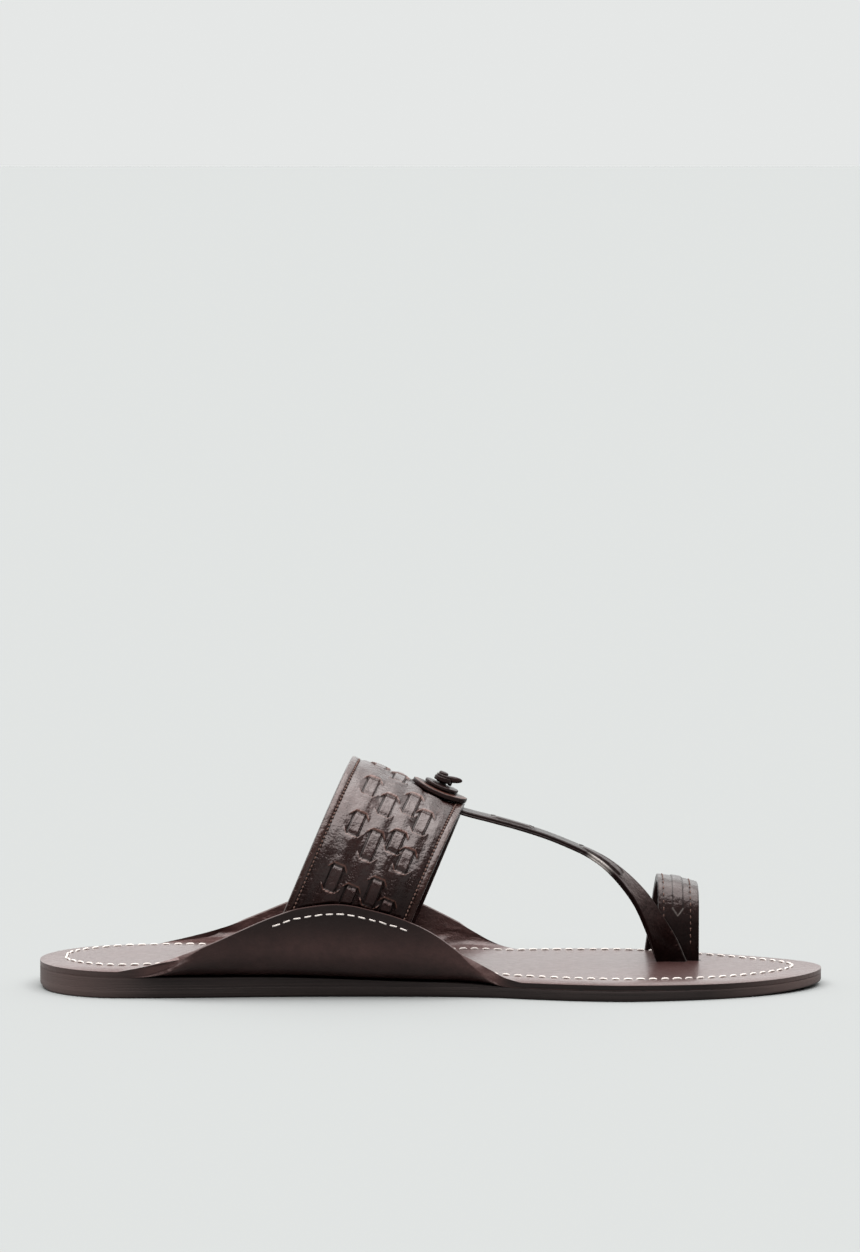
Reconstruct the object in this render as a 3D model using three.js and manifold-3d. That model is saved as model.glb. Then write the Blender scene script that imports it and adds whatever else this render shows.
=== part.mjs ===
// Toe post sandal, right shoe: a flat leather sandal with a winged footbed, a woven instep band,
// a ring for the big toe and a strap that runs from the band to the ring.
// Millimetres. +X runs from heel to toe, +Y to the inner (medial) side of the foot, +Z up.
// The origin is on the ground under the middle of the sole. Stations are measured from the heel's back.
import * as THREE from "three";
import { mergeVertices } from "three/addons/utils/BufferGeometryUtils.js";
import Module from "manifold-3d";

const wasm = await Module();
wasm.setup();

// Driving dimensions
const SOLE_LENGTH = 255;
const GAP = 0.3; // air between pieces that lie on each other
const FOLD_INSET = 6; // how far inside the outline the wings start to turn up
const WING = {
  bend: 6.5, // height over which a wing turns upright
  flare: 0.2, // how far a free wing leans over the rim
  heldUntil: 122, // station up to which the band holds the wings in
  opening: 18, // distance over which they then open out to the rim
};
const WING_RUNS = 2; // rows of points on the straight part of a wing
const SEAT_LEVEL = 0.1; // the footbed's bottom stays this far above what lies under it, beyond GAP

const HEEL_ROUND = 28; // length of the elliptical heel end
const TOE_ROUND = 70; // length of the elliptical toe end
const TIP_SHIFT = 3; // the toe tip lies this far to the inner side
const SPRING_START = 215;
const TOE_SPRING = 1.4;
const STATION_OF_FEET = 207; // where the strap and the ring enter the footbed

const BAND = {
  slope: THREE.MathUtils.degToRad(22.8), // fall of the crest towards the toe
  rearCrest: new THREE.Vector3(-25.7, 0, 74.5), // back edge of the band on the crest line
  width: 39.8,
  lateralSkew: 0.055, // the band lies this much further back for each mm down the outer side
  medialSkew: 0.025, // and this much further forward for each mm down the inner side
  widening: 0.03, // extra width for each mm towards the inner side
  thickness: 2.4,
  crestY: 4,
  capHeight: 34, // from the crest down to where the sides run straight
  wallLean: 0.05, // outward run of the straight sides for each mm down
  lateral: { reach: 32.3, power: 2, end: 64 },
  medial: { reach: 25, power: 2.15, end: 64 },
  tuck: 16, // level at which its ends stop between the wings, under the band's middle
  tuckFall: 0.07, // fall of that level for each mm forward
  roll: 0.25, // height of the turned edges
  rollWidth: 2.2,
};

const THONG = { width: 4.2, height: 1.1, sunk: 0.4 };
// Raised stretches of the thong that is laced through the band: the columns' distances from the
// band's back edge, and for each row how far down the outer side its stretches lie, how long
// they are, and how far the row stands forward of its columns.
const LACING_COLUMNS = [9.8, 17.0, 24.3, 29.7];
const LACING_ROWS = [
  { down: [-51, -45.7, -50.5, -46], length: [9, 9, 9, 9], forward: 0 },
  { down: [-34, -28.7, -33.5, -29], length: [9, 9, 9, 9], forward: 0 },
  { down: [-17, -11.7, -16.5, -12], length: [9, 9, 9, 9], forward: 0 },
  { down: [0, 5.3, 0.5, 5], length: [9, 9, 9, 9], forward: 0 },
  { down: [18, 23.3, 18.6, 24.2], length: [9, 9.2, 10.4, 9.8], forward: 0.2 },
  { down: [34, 38.8, 34.6, 39.2], length: [8.3, 10.2, 7.9, 8], forward: 0.6 },
  { down: [52.9, 57.4, 52.5, 57.1], length: [9, 9, 9.6, 9], forward: 0.6 },
];

const STRAP = { width: 9.4, thickness: 1.7, thongHeight: 0.7 };

const RING = {
  width: 13.4,
  thickness: 2.2,
  x: 81.4, // middle of the outer leg and of the top
  footSetBack: 3.7, // how much further back the inner leg's foot stands
  lateralY: 14.5, // middle of the outer leg's wall
  medialY: 37.4, // middle of the inner leg's wall
  top: 30.8, // middle of the wall on the crest
  shoulder: 17.5, // where the legs start to bend over
  power: 3.2,
  forwardFall: 0.2, // fall of the top for each mm forward
  dome: 0.008, // how much the top is rounded from back to front
  slotRoom: 3.4, // extra width of the outer slot on its outer side, for the strap's foot
  slotRear: 0.6, // extra length of the outer slot behind the leg
};

const KNOT = {
  along: 30.5, // from the band's back edge, along the crest
  y: 2.5,
  patchLength: 18.8,
  patchWidth: 15,
  patchThickness: 1.5,
  discRadius: 5.6,
  discThickness: 1.0,
  rollRadius: 3.2,
  rollHeight: 3.0,
  rollBack: 0.3, // the roll stands this far behind the disc's middle
  nubRadius: 1.4,
  nubHeight: 0.6,
  tailLength: 4.8,
  tailRadius: 0.9,
  shankRadius: 1.2,
  holeRadius: 1.5,
  headRadius: 2.6,
  headHeight: 1.2,
};

// Half breadths of the sole before its ends are rounded.
const BREADTHS = [
  { station: 0, lateral: 29, medial: 29 },
  { station: 30, lateral: 29, medial: 28.8 },
  { station: 50, lateral: 28.2, medial: 28 },
  { station: 75, lateral: 26.3, medial: 26.2 },
  { station: 104, lateral: 25.4, medial: 27 },
  { station: 128, lateral: 25.9, medial: 33 },
  { station: 147, lateral: 28, medial: 39 },
  { station: 160, lateral: 31.5, medial: 41.6 },
  { station: 175, lateral: 35, medial: 43.2 },
  { station: 190, lateral: 36.6, medial: 43.4 },
  { station: 210, lateral: 36.2, medial: 41 },
  { station: 255, lateral: 36, medial: 37 },
];

// Levels through the sole, without the toe spring: top of the outsole, underside of the footbed,
// the footbed's edge thickness and how much its padded middle stands above the edge.
const LEVELS = [
  { station: 0, outsole: 3.0, footbed: 7.0, edge: 1.8, pad: 0.8 },
  { station: 18, outsole: 3.0, footbed: 6.9, edge: 1.8, pad: 1.0 },
  { station: 36, outsole: 3.0, footbed: 6.8, edge: 1.8, pad: 1.6 },
  { station: 50, outsole: 3.0, footbed: 6.7, edge: 1.8, pad: 2.0 },
  { station: 75, outsole: 3.0, footbed: 6.5, edge: 1.8, pad: 1.9 },
  { station: 114, outsole: 3.0, footbed: 5.2, edge: 1.8, pad: 1.6 },
  { station: 140, outsole: 3.1, footbed: 4.4, edge: 1.8, pad: 1.3 },
  { station: 156, outsole: 3.2, footbed: 3.6, edge: 1.8, pad: 1.1 },
  { station: 185, outsole: 3.2, footbed: 3.6, edge: 1.8, pad: 0.9 },
  { station: 215, outsole: 3.0, footbed: 3.4, edge: 1.7, pad: 0.9 },
  { station: 255, outsole: 2.4, footbed: 2.8, edge: 1.4, pad: 0.8 },
];

// Height above the ground of the wings' top edges. Outside these rows there is no wing.
const LATERAL_WING = [
  { station: 27, top: 8.7 },
  { station: 34.6, top: 10.2 },
  { station: 43, top: 12.6 },
  { station: 50.7, top: 15.5 },
  { station: 58.4, top: 18.6 },
  { station: 66.2, top: 22.1 },
  { station: 77.4, top: 26.8 },
  { station: 85.5, top: 29.3 },
  { station: 97, top: 30.5 },
  { station: 111, top: 27.9 },
  { station: 122.4, top: 24.0 },
  { station: 127.2, top: 21.5 },
  { station: 131.0, top: 19.0 },
  { station: 134.2, top: 16.5 },
  { station: 138.1, top: 13.7 },
  { station: 143.2, top: 11.0 },
  { station: 147.4, top: 8.7 },
  { station: 151.3, top: 6.7 },
  { station: 156, top: 5.5 },
];
const MEDIAL_WING = [
  { station: 34, top: 8.6 },
  { station: 40, top: 10.0 },
  { station: 48, top: 11.8 },
  { station: 56, top: 13.8 },
  { station: 64, top: 16.3 },
  { station: 72, top: 19.5 },
  { station: 80, top: 22.8 },
  { station: 91, top: 26.5 },
  { station: 103, top: 28.6 },
  { station: 115, top: 26.4 },
  { station: 125.5, top: 21.8 },
  { station: 133.8, top: 17.2 },
  { station: 142, top: 12.0 },
  { station: 147, top: 9.0 },
  { station: 152, top: 6.8 },
  { station: 157, top: 5.6 },
];

// The toe strap's middle line from under the band to its slot, and its turn about that line.
const STRAP_LINE = [
  { x: -4.0, y: 3.2, z: 62.4, turn: 0 },
  { x: 4.5, y: 3.2, z: 59.0, turn: 0 },
  { x: 10.4, y: 3.2, z: 56.7, turn: 0 },
  { x: 19.7, y: 3.4, z: 54.2, turn: 0 },
  { x: 29.0, y: 3.7, z: 51.6, turn: 0 },
  { x: 38.3, y: 4.2, z: 48.5, turn: 0 },
  { x: 47.6, y: 4.8, z: 44.6, turn: 1 },
  { x: 52.3, y: 5.2, z: 42.3, turn: 4 },
  { x: 57.5, y: 6.0, z: 38.9, turn: 10 },
  { x: 63.9, y: 7.2, z: 32.9, turn: 20 },
  { x: 69.0, y: 8.3, z: 26.5, turn: 30 },
  { x: 73.6, y: 9.4, z: 18.2, turn: 45 },
  { x: 76.6, y: 10.6, z: 11.8, turn: 66 },
  { x: 78.8, y: 11.5, z: 6.4, turn: 84 },
  { x: 81.0, y: 11.8, z: 1.5, turn: 88 },
];
const STRAP_REAR = 26.5; // where the strap ends under the band, from the band's back edge
const STRAP_THONGS = [
  { from: 19.4, to: 33.2 },
  { from: 48.2, to: 62.0 },
];

const LEATHER = {
  band: { color: 0x33211f, roughness: 0.42 },
  footbed: { color: 0x4a3a38, roughness: 0.5 },
  sole: { color: 0x2e2422, roughness: 0.6 },
  strap: { color: 0x2c1d1b, roughness: 0.45 },
};

const half = (value) => value / 2;
const lerp = THREE.MathUtils.lerp;
const clamp = THREE.MathUtils.clamp;
const smooth = (t) => THREE.MathUtils.smoothstep(t, 0, 1);

// A smooth curve through a table's column that never overshoots its rows.
function column(rows, name, key = "station") {
  const x = rows.map((row) => row[key]);
  const y = rows.map((row) => row[name]);
  const run = x.slice(1).map((value, i) => value - x[i]);
  const rise = run.map((value, i) => (y[i + 1] - y[i]) / value);
  const slope = x.map((_, i) => {
    if (i === 0) return rise[0];
    if (i === x.length - 1) return rise[i - 1];
    if (rise[i - 1] * rise[i] <= 0) return 0;
    const before = 2 * run[i] + run[i - 1];
    const after = run[i] + 2 * run[i - 1];
    return (before + after) / (before / rise[i - 1] + after / rise[i]);
  });
  return (at) => {
    const t = clamp(at, x[0], x[x.length - 1]);
    let i = 0;
    while (i < run.length - 1 && t > x[i + 1]) i += 1;
    const u = (t - x[i]) / run[i];
    const u2 = u * u;
    const u3 = u2 * u;
    return (
      (2 * u3 - 3 * u2 + 1) * y[i] +
      (u3 - 2 * u2 + u) * run[i] * slope[i] +
      (3 * u2 - 2 * u3) * y[i + 1] +
      (u3 - u2) * run[i] * slope[i + 1]
    );
  };
}

const lateralBreadth = column(BREADTHS, "lateral");
const medialBreadth = column(BREADTHS, "medial");
const outsoleLevel = column(LEVELS, "outsole");
const footbedLevel = column(LEVELS, "footbed");
const edgeThickness = column(LEVELS, "edge");
const padHeight = column(LEVELS, "pad");
const lateralWing = column(LATERAL_WING, "top");
const medialWing = column(MEDIAL_WING, "top");

// How much of the full breadth is left at a station: both ends are quarter ellipses.
function endRounding(station) {
  const heel = clamp((HEEL_ROUND - station) / HEEL_ROUND, 0, 1);
  const toe = clamp((station - SOLE_LENGTH + TOE_ROUND) / TOE_ROUND, 0, 1);
  return Math.sqrt(1 - heel * heel) * Math.sqrt(1 - toe * toe);
}

// The sole's outline at a station: y on the outer side and on the inner side.
function outline(station) {
  const rounding = endRounding(station);
  const toe = clamp((station - SOLE_LENGTH + TOE_ROUND) / TOE_ROUND, 0, 1);
  const shift = TIP_SHIFT * toe * toe;
  return {
    lateral: shift - lateralBreadth(station) * rounding,
    medial: shift + medialBreadth(station) * rounding,
  };
}

function toeSpring(station) {
  const share = Math.max(0, station - SPRING_START) / (SOLE_LENGTH - SPRING_START);
  return TOE_SPRING * share * share;
}

// Stations crowd towards both ends, so that the rounded ends stay smooth.
function stations(count, from = 0, to = SOLE_LENGTH) {
  return Array.from({ length: count + 1 }, (_, i) => {
    const share = half(1 - Math.cos((Math.PI * i) / count));
    return lerp(from, to, share);
  });
}

// Solids

// Joins rings of points into one closed surface, with a flat cap at each end.
function loft(rings) {
  const size = rings[0].length;
  const positions = rings.flat().flatMap((p) => [p.x, p.y, p.z]);
  const faces = [];
  for (let r = 0; r < rings.length - 1; r += 1) {
    for (let i = 0; i < size; i += 1) {
      const a = r * size + i;
      const b = r * size + ((i + 1) % size);
      faces.push(a, b, b + size, a, b + size, a + size);
    }
  }
  const last = (rings.length - 1) * size;
  const firstCap = capFaces(rings[0]);
  const lastCap = capFaces(rings[rings.length - 1]);
  firstCap.forEach(([a, b, c]) => faces.push(a, c, b));
  lastCap.forEach(([a, b, c]) => faces.push(last + a, last + b, last + c));
  return solidFrom(positions, faces);
}

// Triangles that fill a ring, worked out in the ring's own plane.
function capFaces(ring) {
  const normal = new THREE.Vector3();
  ring.forEach((p, i) => {
    const q = ring[(i + 1) % ring.length];
    normal.add(new THREE.Vector3().crossVectors(p, q));
  });
  if (normal.length() < 1e-6) return [];
  normal.normalize();
  const along = Math.abs(normal.z) < 0.9 ? new THREE.Vector3(0, 0, 1) : new THREE.Vector3(1, 0, 0);
  const right = new THREE.Vector3().crossVectors(along, normal).normalize();
  const up = new THREE.Vector3().crossVectors(normal, right);
  const flat = ring.map((p) => new THREE.Vector2(p.dot(right), p.dot(up)));
  return THREE.ShapeUtils.triangulateShape(flat, []);
}

// A closed solid from shared points. Points that fall together are merged and empty faces dropped.
function solidFrom(positions, faces) {
  const geometry = new THREE.BufferGeometry();
  geometry.setAttribute("position", new THREE.Float32BufferAttribute(positions, 3));
  geometry.setIndex(faces);
  return solidOf(geometry);
}

function solidOf(geometry) {
  const plain = geometry.clone();
  plain.deleteAttribute("normal");
  plain.deleteAttribute("uv");
  const merged = mergeVertices(plain, 1e-3);
  const index = merged.index.array;
  const kept = [];
  for (let i = 0; i < index.length; i += 3) {
    const [a, b, c] = [index[i], index[i + 1], index[i + 2]];
    if (a !== b && b !== c && a !== c) kept.push(a, b, c);
  }
  const vertProperties = new Float32Array(merged.attributes.position.array);
  const closed = (corners) => {
    const triVerts = new Uint32Array(corners);
    return new wasm.Manifold(new wasm.Mesh({ numProp: 3, vertProperties, triVerts }));
  };
  const solid = closed(kept);
  if (solid.volume() >= 0) return solid;
  for (let i = 0; i < kept.length; i += 3) [kept[i], kept[i + 1]] = [kept[i + 1], kept[i]];
  return closed(kept);
}

function geometryOf(solid) {
  const mesh = solid.getMesh();
  const geometry = new THREE.BufferGeometry();
  geometry.setAttribute("position", new THREE.BufferAttribute(new Float32Array(mesh.vertProperties), 3));
  geometry.setIndex(new THREE.BufferAttribute(new Uint32Array(mesh.triVerts), 1));
  geometry.computeVertexNormals();
  return geometry;
}

function boxBetween(low, high) {
  const size = high.clone().sub(low);
  const box = new THREE.BoxGeometry(size.x, size.y, size.z);
  const middle = low.clone().add(high).multiplyScalar(0.5);
  box.translate(middle.x, middle.y, middle.z);
  return solidOf(box);
}

// Sole

// One layer of the sole between two levels. Its lower edge is rounded by cut.
function soleLayer(places, bottom, top, cut) {
  const rings = places.map((station) => {
    const { lateral, medial } = outline(station);
    const low = bottom(station);
    const high = top(station);
    const x = station - half(SOLE_LENGTH);
    const inset = Math.min(cut, half(medial - lateral) * 0.5);
    const at = (y, z) => new THREE.Vector3(x, y, z);
    return [
      at(lateral, high),
      at(lateral, low + cut),
      at(lateral + inset * 0.3, low + cut * 0.3),
      at(lateral + inset, low),
      at(medial - inset, low),
      at(medial - inset * 0.3, low + cut * 0.3),
      at(medial, low + cut),
      at(medial, high),
    ];
  });
  return loft(rings);
}

function makeOutsole() {
  const top = (station) => outsoleLevel(station) + toeSpring(station);
  const bottom = (station) => {
    const heel = clamp(1 - station / 5, 0, 1);
    return toeSpring(station) + 1.2 * heel * heel;
  };
  return soleLayer(stations(52), bottom, top, 0.9);
}

function makeHeelWedge() {
  const bottom = (station) => outsoleLevel(station) + GAP;
  const top = (station) => footbedLevel(station) - GAP;
  return soleLayer(stations(40, 0, 146), bottom, top, 0.05);
}

// Footbed with wings

// The padded middle falls away towards the outline as a parabola.
function padAt(station, y) {
  const { lateral, medial } = outline(station);
  const inside = clamp(((y - lateral) * (medial - y)) / 500, 0, 1);
  return padHeight(station) * (1 - (1 - inside) ** 2);
}

// Depth below the band's crest line of a point on the side.
function depthBelowCrest(x, z) {
  const dx = x - BAND.rearCrest.x;
  const dz = z - BAND.rearCrest.z;
  return -dx * Math.sin(BAND.slope) - dz * Math.cos(BAND.slope);
}

// The inner face of a wing stands just outside the band's straight side.
function wallY(side, x, z) {
  const reach = side < 0 ? BAND.lateral.reach - BAND.crestY : BAND.medial.reach + BAND.crestY;
  return reach + BAND.roll + 1.5 * GAP + BAND.wallLean * (depthBelowCrest(x, z) - BAND.capHeight);
}

// One side of a footbed section, from the fold to the cut edge, as [upper, under] points.
// A standing wing bends up over a short curve and then runs straight along the band's side.
function flapPoints(side, station, count) {
  const x = station - half(SOLE_LENGTH);
  const spring = toeSpring(station);
  const { lateral, medial } = outline(station);
  const rim = side < 0 ? -lateral : medial;
  const middle = half(medial + lateral) * side;
  const under = footbedLevel(station) + spring;
  const edge = under + edgeThickness(station);
  const wing = side < 0 ? lateralWing : medialWing;
  const rows = side < 0 ? LATERAL_WING : MEDIAL_WING;
  const inside = station > rows[0].station && station < rows[rows.length - 1].station;
  const tip = inside ? Math.max(wing(station), edge) : edge;
  const upright = smooth((tip - edge) / 9);
  // Ahead of the band nothing holds the wing in, so it opens out towards the rim.
  const held = 1 - smooth((station - WING.heldUntil) / WING.opening);
  const wall = (z) => lerp(rim + WING.flare, wallY(side, x, z), held);
  const tipY = lerp(rim, wall(tip), upright);
  const inset = Math.min(FOLD_INSET, 0.4 * (rim - middle));
  const foldY = Math.min(rim - inset, lerp(rim - inset, wall(tip) - FOLD_INSET, upright));
  const foldZ = edge + padAt(station, side * foldY);
  const bendTop = foldZ + Math.min(WING.bend, 0.55 * (tip - foldZ));
  const start = new THREE.Vector2(foldY, foldZ);
  const end = new THREE.Vector2(tipY, tip);
  const bend = end.clone().lerp(new THREE.Vector2(wall(bendTop), bendTop), upright);
  const reach = bend.x - foldY;
  const handleZ = lerp(lerp(edge, foldZ, 0.5), lerp(foldZ, bendTop, 0.4), upright);
  const curve = new THREE.CubicBezierCurve(
    start,
    new THREE.Vector2(foldY + reach * lerp(0.45, 0.75, upright), foldZ),
    new THREE.Vector2(bend.x - reach * lerp(0.2, 0, upright), handleZ),
    bend,
  );
  const straight = end.clone().sub(bend);
  const heading = straight.length() < 0.01 ? curve.getTangent(1) : straight.normalize();
  const bendCount = count - WING_RUNS;
  return Array.from({ length: count + 1 }, (_, i) => {
    const onBend = i <= bendCount;
    const share = onBend ? i / bendCount : (i - bendCount) / WING_RUNS;
    const p = onBend ? curve.getPoint(share) : bend.clone().lerp(end, share);
    const tangent = onBend ? curve.getTangent(share) : heading;
    const depth = lerp(foldZ - under, edgeThickness(station), smooth((2 * i) / count));
    const folded = p.clone().add(new THREE.Vector2(tangent.y, -tangent.x).multiplyScalar(depth));
    const flat = new THREE.Vector2(p.x, under);
    const back = flat.lerp(folded, upright);
    return [new THREE.Vector3(x, side * p.x, p.y), new THREE.Vector3(x, side * back.x, back.y)];
  });
}

function makeFootbed() {
  const across = 6;
  const flap = 7;
  const rings = stations(47).map((station) => {
    const outer = flapPoints(-1, station, flap).reverse();
    const inner = flapPoints(1, station, flap);
    const [from, to] = [outer[flap][0].y, inner[0][0].y];
    const under = footbedLevel(station) + toeSpring(station);
    const edge = under + edgeThickness(station);
    const middle = Array.from({ length: across - 1 }, (_, i) => {
      const y = lerp(from, to, (i + 1) / across);
      const x = outer[0][0].x;
      return [new THREE.Vector3(x, y, edge + padAt(station, y)), new THREE.Vector3(x, y, under)];
    });
    const pairs = [...outer, ...middle, ...inner];
    return [...pairs.map((pair) => pair[0]), ...pairs.map((pair) => pair[1]).reverse()];
  });
  const outerSlot = slotCutter(RING.x, RING.lateralY, RING.slotRoom, RING.slotRear);
  const innerSlot = slotCutter(RING.x - RING.footSetBack, RING.medialY, 0, 0);
  return loft(rings).subtract(outerSlot).subtract(innerSlot);
}

// Cuts the slot in which a leg of the ring stands, with room on its outer side and behind it
// for the strap.
function slotCutter(x, y, room, rear) {
  const halfWidth = half(RING.width) + GAP + 0.2;
  const halfDepth = half(RING.thickness) + GAP + 0.1;
  const low = new THREE.Vector3(x - halfWidth - rear, y - halfDepth - room, 2);
  const high = new THREE.Vector3(x + halfWidth, y + halfDepth, 12);
  return boxBetween(low, high);
}

// Instep band

// The band's section across the foot as points by arc length from the crest.
// Each side is a superellipse quarter and then a straight wall; depth is measured down from the crest.
function archLine(side) {
  const { reach, power, end } = side;
  const sign = side === BAND.lateral ? -1 : 1;
  const steps = 160;
  const points = [];
  for (let i = 0; i <= steps; i += 1) {
    const t = (half(Math.PI) * i) / steps;
    const y = BAND.crestY + sign * reach * Math.sin(t) ** (2 / power);
    points.push(new THREE.Vector2(y, BAND.capHeight * (1 - Math.cos(t) ** (2 / power))));
  }
  const last = points[points.length - 1];
  const drop = end - BAND.capHeight;
  for (let i = 1; i <= steps; i += 1) {
    const down = (drop * i) / steps;
    points.push(new THREE.Vector2(last.x + sign * BAND.wallLean * down, last.y + down));
  }
  const lengths = [0];
  points.forEach((p, i) => {
    if (i > 0) lengths.push(lengths[i - 1] + p.distanceTo(points[i - 1]));
  });
  return { points, lengths, total: lengths[lengths.length - 1] };
}

const ARCH = { lateral: archLine(BAND.lateral), medial: archLine(BAND.medial) };

function archAt(arc) {
  const line = arc < 0 ? ARCH.lateral : ARCH.medial;
  const target = Math.min(Math.abs(arc), line.total);
  let i = 1;
  while (i < line.lengths.length - 1 && line.lengths[i] < target) i += 1;
  const share = (target - line.lengths[i - 1]) / (line.lengths[i] - line.lengths[i - 1]);
  return line.points[i - 1].clone().lerp(line.points[i], share);
}

// A point of the band: across is measured from its back edge, arc from the crest (inner side
// positive), and lift outwards from its outer face.
function bandPoint(across, arc, lift) {
  const p = archAt(arc);
  const step = 0.4;
  const ahead = archAt(Math.min(arc + step, ARCH.medial.total));
  const behind = archAt(Math.max(arc - step, -ARCH.lateral.total));
  const tangent = ahead.sub(behind).normalize();
  const y = p.x + tangent.y * lift;
  const depth = p.y - tangent.x * lift;
  const scale = 1 + (BAND.widening * p.x) / BAND.width;
  const skew = p.x < BAND.crestY ? BAND.lateralSkew : BAND.medialSkew;
  return onCrest(across * scale + skew * (p.x - BAND.crestY), y, -depth);
}

// A point given along the crest from the band's back edge, by its y, and above the crest line.
function onCrest(along, y, above) {
  const sin = Math.sin(BAND.slope);
  const cos = Math.cos(BAND.slope);
  return new THREE.Vector3(
    BAND.rearCrest.x + along * cos + above * sin,
    y,
    BAND.rearCrest.z - along * sin + above * cos,
  );
}

// Raised stretch of thong on a face, with chamfered sides: point(across, along, lift) gives the face.
function raisedThong(point, across, from, to, steps) {
  const side = half(THONG.width);
  const bevel = 0.5;
  const profile = [
    [-side, -THONG.sunk],
    [-side, THONG.height - bevel],
    [-side + bevel, THONG.height],
    [side - bevel, THONG.height],
    [side, THONG.height - bevel],
    [side, -THONG.sunk],
  ];
  const rings = Array.from({ length: steps + 1 }, (_, i) => {
    const end = i === 0 || i === steps ? 0.55 : 1;
    return profile.map(([offset, lift]) =>
      point(across + offset, lerp(from, to, i / steps), lift > 0 ? lift * end : lift),
    );
  });
  return loft(rings);
}

function makeBand() {
  const w = BAND.width;
  const t = BAND.thickness;
  const profile = [
    [0, -0.7],
    [0.5, BAND.roll * 0.8],
    [BAND.rollWidth * 0.75, BAND.roll],
    [BAND.rollWidth, 0],
    [half(w), 0],
    [w - BAND.rollWidth, 0],
    [w - BAND.rollWidth * 0.75, BAND.roll],
    [w - 0.5, BAND.roll * 0.8],
    [w, -0.7],
    [w, 0.5 - t],
    [w - 0.4, -t],
    [half(w), -t],
    [0.4, -t],
    [0, 0.5 - t],
  ];
  const count = 50;
  const rings = Array.from({ length: count + 1 }, (_, i) => {
    const arc = lerp(-ARCH.lateral.total, ARCH.medial.total, i / count);
    return profile.map(([across, lift]) => bandPoint(across, arc, lift));
  });
  let band = loft(rings);
  const underPatch = standing(half(KNOT.patchLength) + 3.5, half(KNOT.patchWidth) + 3.5, -4, 8);
  const hidden = belowWing(-1).add(belowWing(1)).add(underPatch);
  for (const { down, length, forward } of LACING_ROWS) {
    LACING_COLUMNS.forEach((column, i) => {
      const from = -down[i] - half(length[i]);
      const thong = raisedThong(bandPoint, column + forward, from, from + length[i], 2);
      band = band.add(thong.subtract(hidden));
    });
  }
  return band.subtract(strapBody(GAP)).subtract(knotHole()).subtract(belowTuck());
}

// Everything below a wing's top edge, on one side of the band's middle.
function belowWing(side) {
  const wing = side < 0 ? lateralWing : medialWing;
  const rings = stations(12, 60, 135).map((station) => {
    const x = station - half(SOLE_LENGTH);
    const top = wing(station) + GAP;
    return [
      new THREE.Vector3(x, 0, -10),
      new THREE.Vector3(x, side * 60, -10),
      new THREE.Vector3(x, side * 60, top),
      new THREE.Vector3(x, 0, top),
    ];
  });
  return loft(rings);
}

// Everything below the sloping level at which the band's two ends stop inside the wings.
function belowTuck() {
  const middle = onCrest(half(BAND.width), 0, 12 - BAND.rearCrest.z);
  const box = new THREE.BoxGeometry(120, 120, 60);
  box.translate(0, 0, -30);
  box.rotateY(Math.atan(BAND.tuckFall));
  box.translate(middle.x, 0, BAND.tuck);
  return solidOf(box);
}

// Toe strap

const strapCurve = new THREE.CatmullRomCurve3(
  STRAP_LINE.map((row) => new THREE.Vector3(row.x, row.y, row.z)),
  false,
  "centripetal",
);
const strapTurn = column(STRAP_LINE, "turn", "x");

// A point of the strap: share runs along its middle line, across from its outer to its inner edge.
function strapPoint(share, across, lift) {
  const middle = strapCurve.getPointAt(share);
  const along = strapCurve.getTangentAt(share);
  const flat = new THREE.Vector3(0, 1, 0);
  const side = flat.addScaledVector(along, -flat.dot(along)).normalize();
  side.applyAxisAngle(along, THREE.MathUtils.degToRad(strapTurn(middle.x)));
  const normal = new THREE.Vector3().crossVectors(along, side);
  return middle.addScaledVector(side, across).addScaledVector(normal, lift);
}

// The share of the strap's length at which it reaches x.
function strapShare(x) {
  let [low, high] = [0, 1];
  for (let i = 0; i < 30; i += 1) {
    const middle = half(low + high);
    if (strapCurve.getPointAt(middle).x < x) low = middle;
    else high = middle;
  }
  return low;
}

// The plain strap, or the room it takes up with extra air round it.
function strapBody(extra) {
  const w = half(STRAP.width) + extra;
  const t = half(STRAP.thickness) + extra;
  const bevel = 0.35;
  const profile = [
    [-w, bevel - t],
    [bevel - w, -t],
    [w - bevel, -t],
    [w, bevel - t],
    [w, t - bevel],
    [w - bevel, t],
    [bevel - w, t],
    [-w, t - bevel],
  ];
  const count = 36;
  const rings = Array.from({ length: count + 1 }, (_, i) =>
    profile.map(([across, lift]) => strapPoint(i / count, across, lift)),
  );
  return loft(rings);
}

function makeToeStrap() {
  let strap = strapBody(0);
  for (const { from, to } of STRAP_THONGS) {
    const face = (across, share, lift) => {
      const proud = lift > 0 ? (lift * STRAP.thongHeight) / THONG.height : lift;
      return strapPoint(share, across, half(STRAP.thickness) + proud);
    };
    strap = strap.add(raisedThong(face, 0, strapShare(from), strapShare(to), 6));
  }
  const rear = onCrest(STRAP_REAR, 0, -3);
  const room = boxBetween(new THREE.Vector3(-40, -60, 40), new THREE.Vector3(rear.x, 60, 90));
  return strap.subtract(room).subtract(knotHole()).subtract(belowFeet());
}

// Everything below the level at which the strap and the ring end in the sole.
function belowFeet() {
  const level = outsoleLevel(STATION_OF_FEET) + GAP + SEAT_LEVEL;
  return boxBetween(new THREE.Vector3(40, -40, -20), new THREE.Vector3(120, 60, level));
}

// Toe ring

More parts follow.
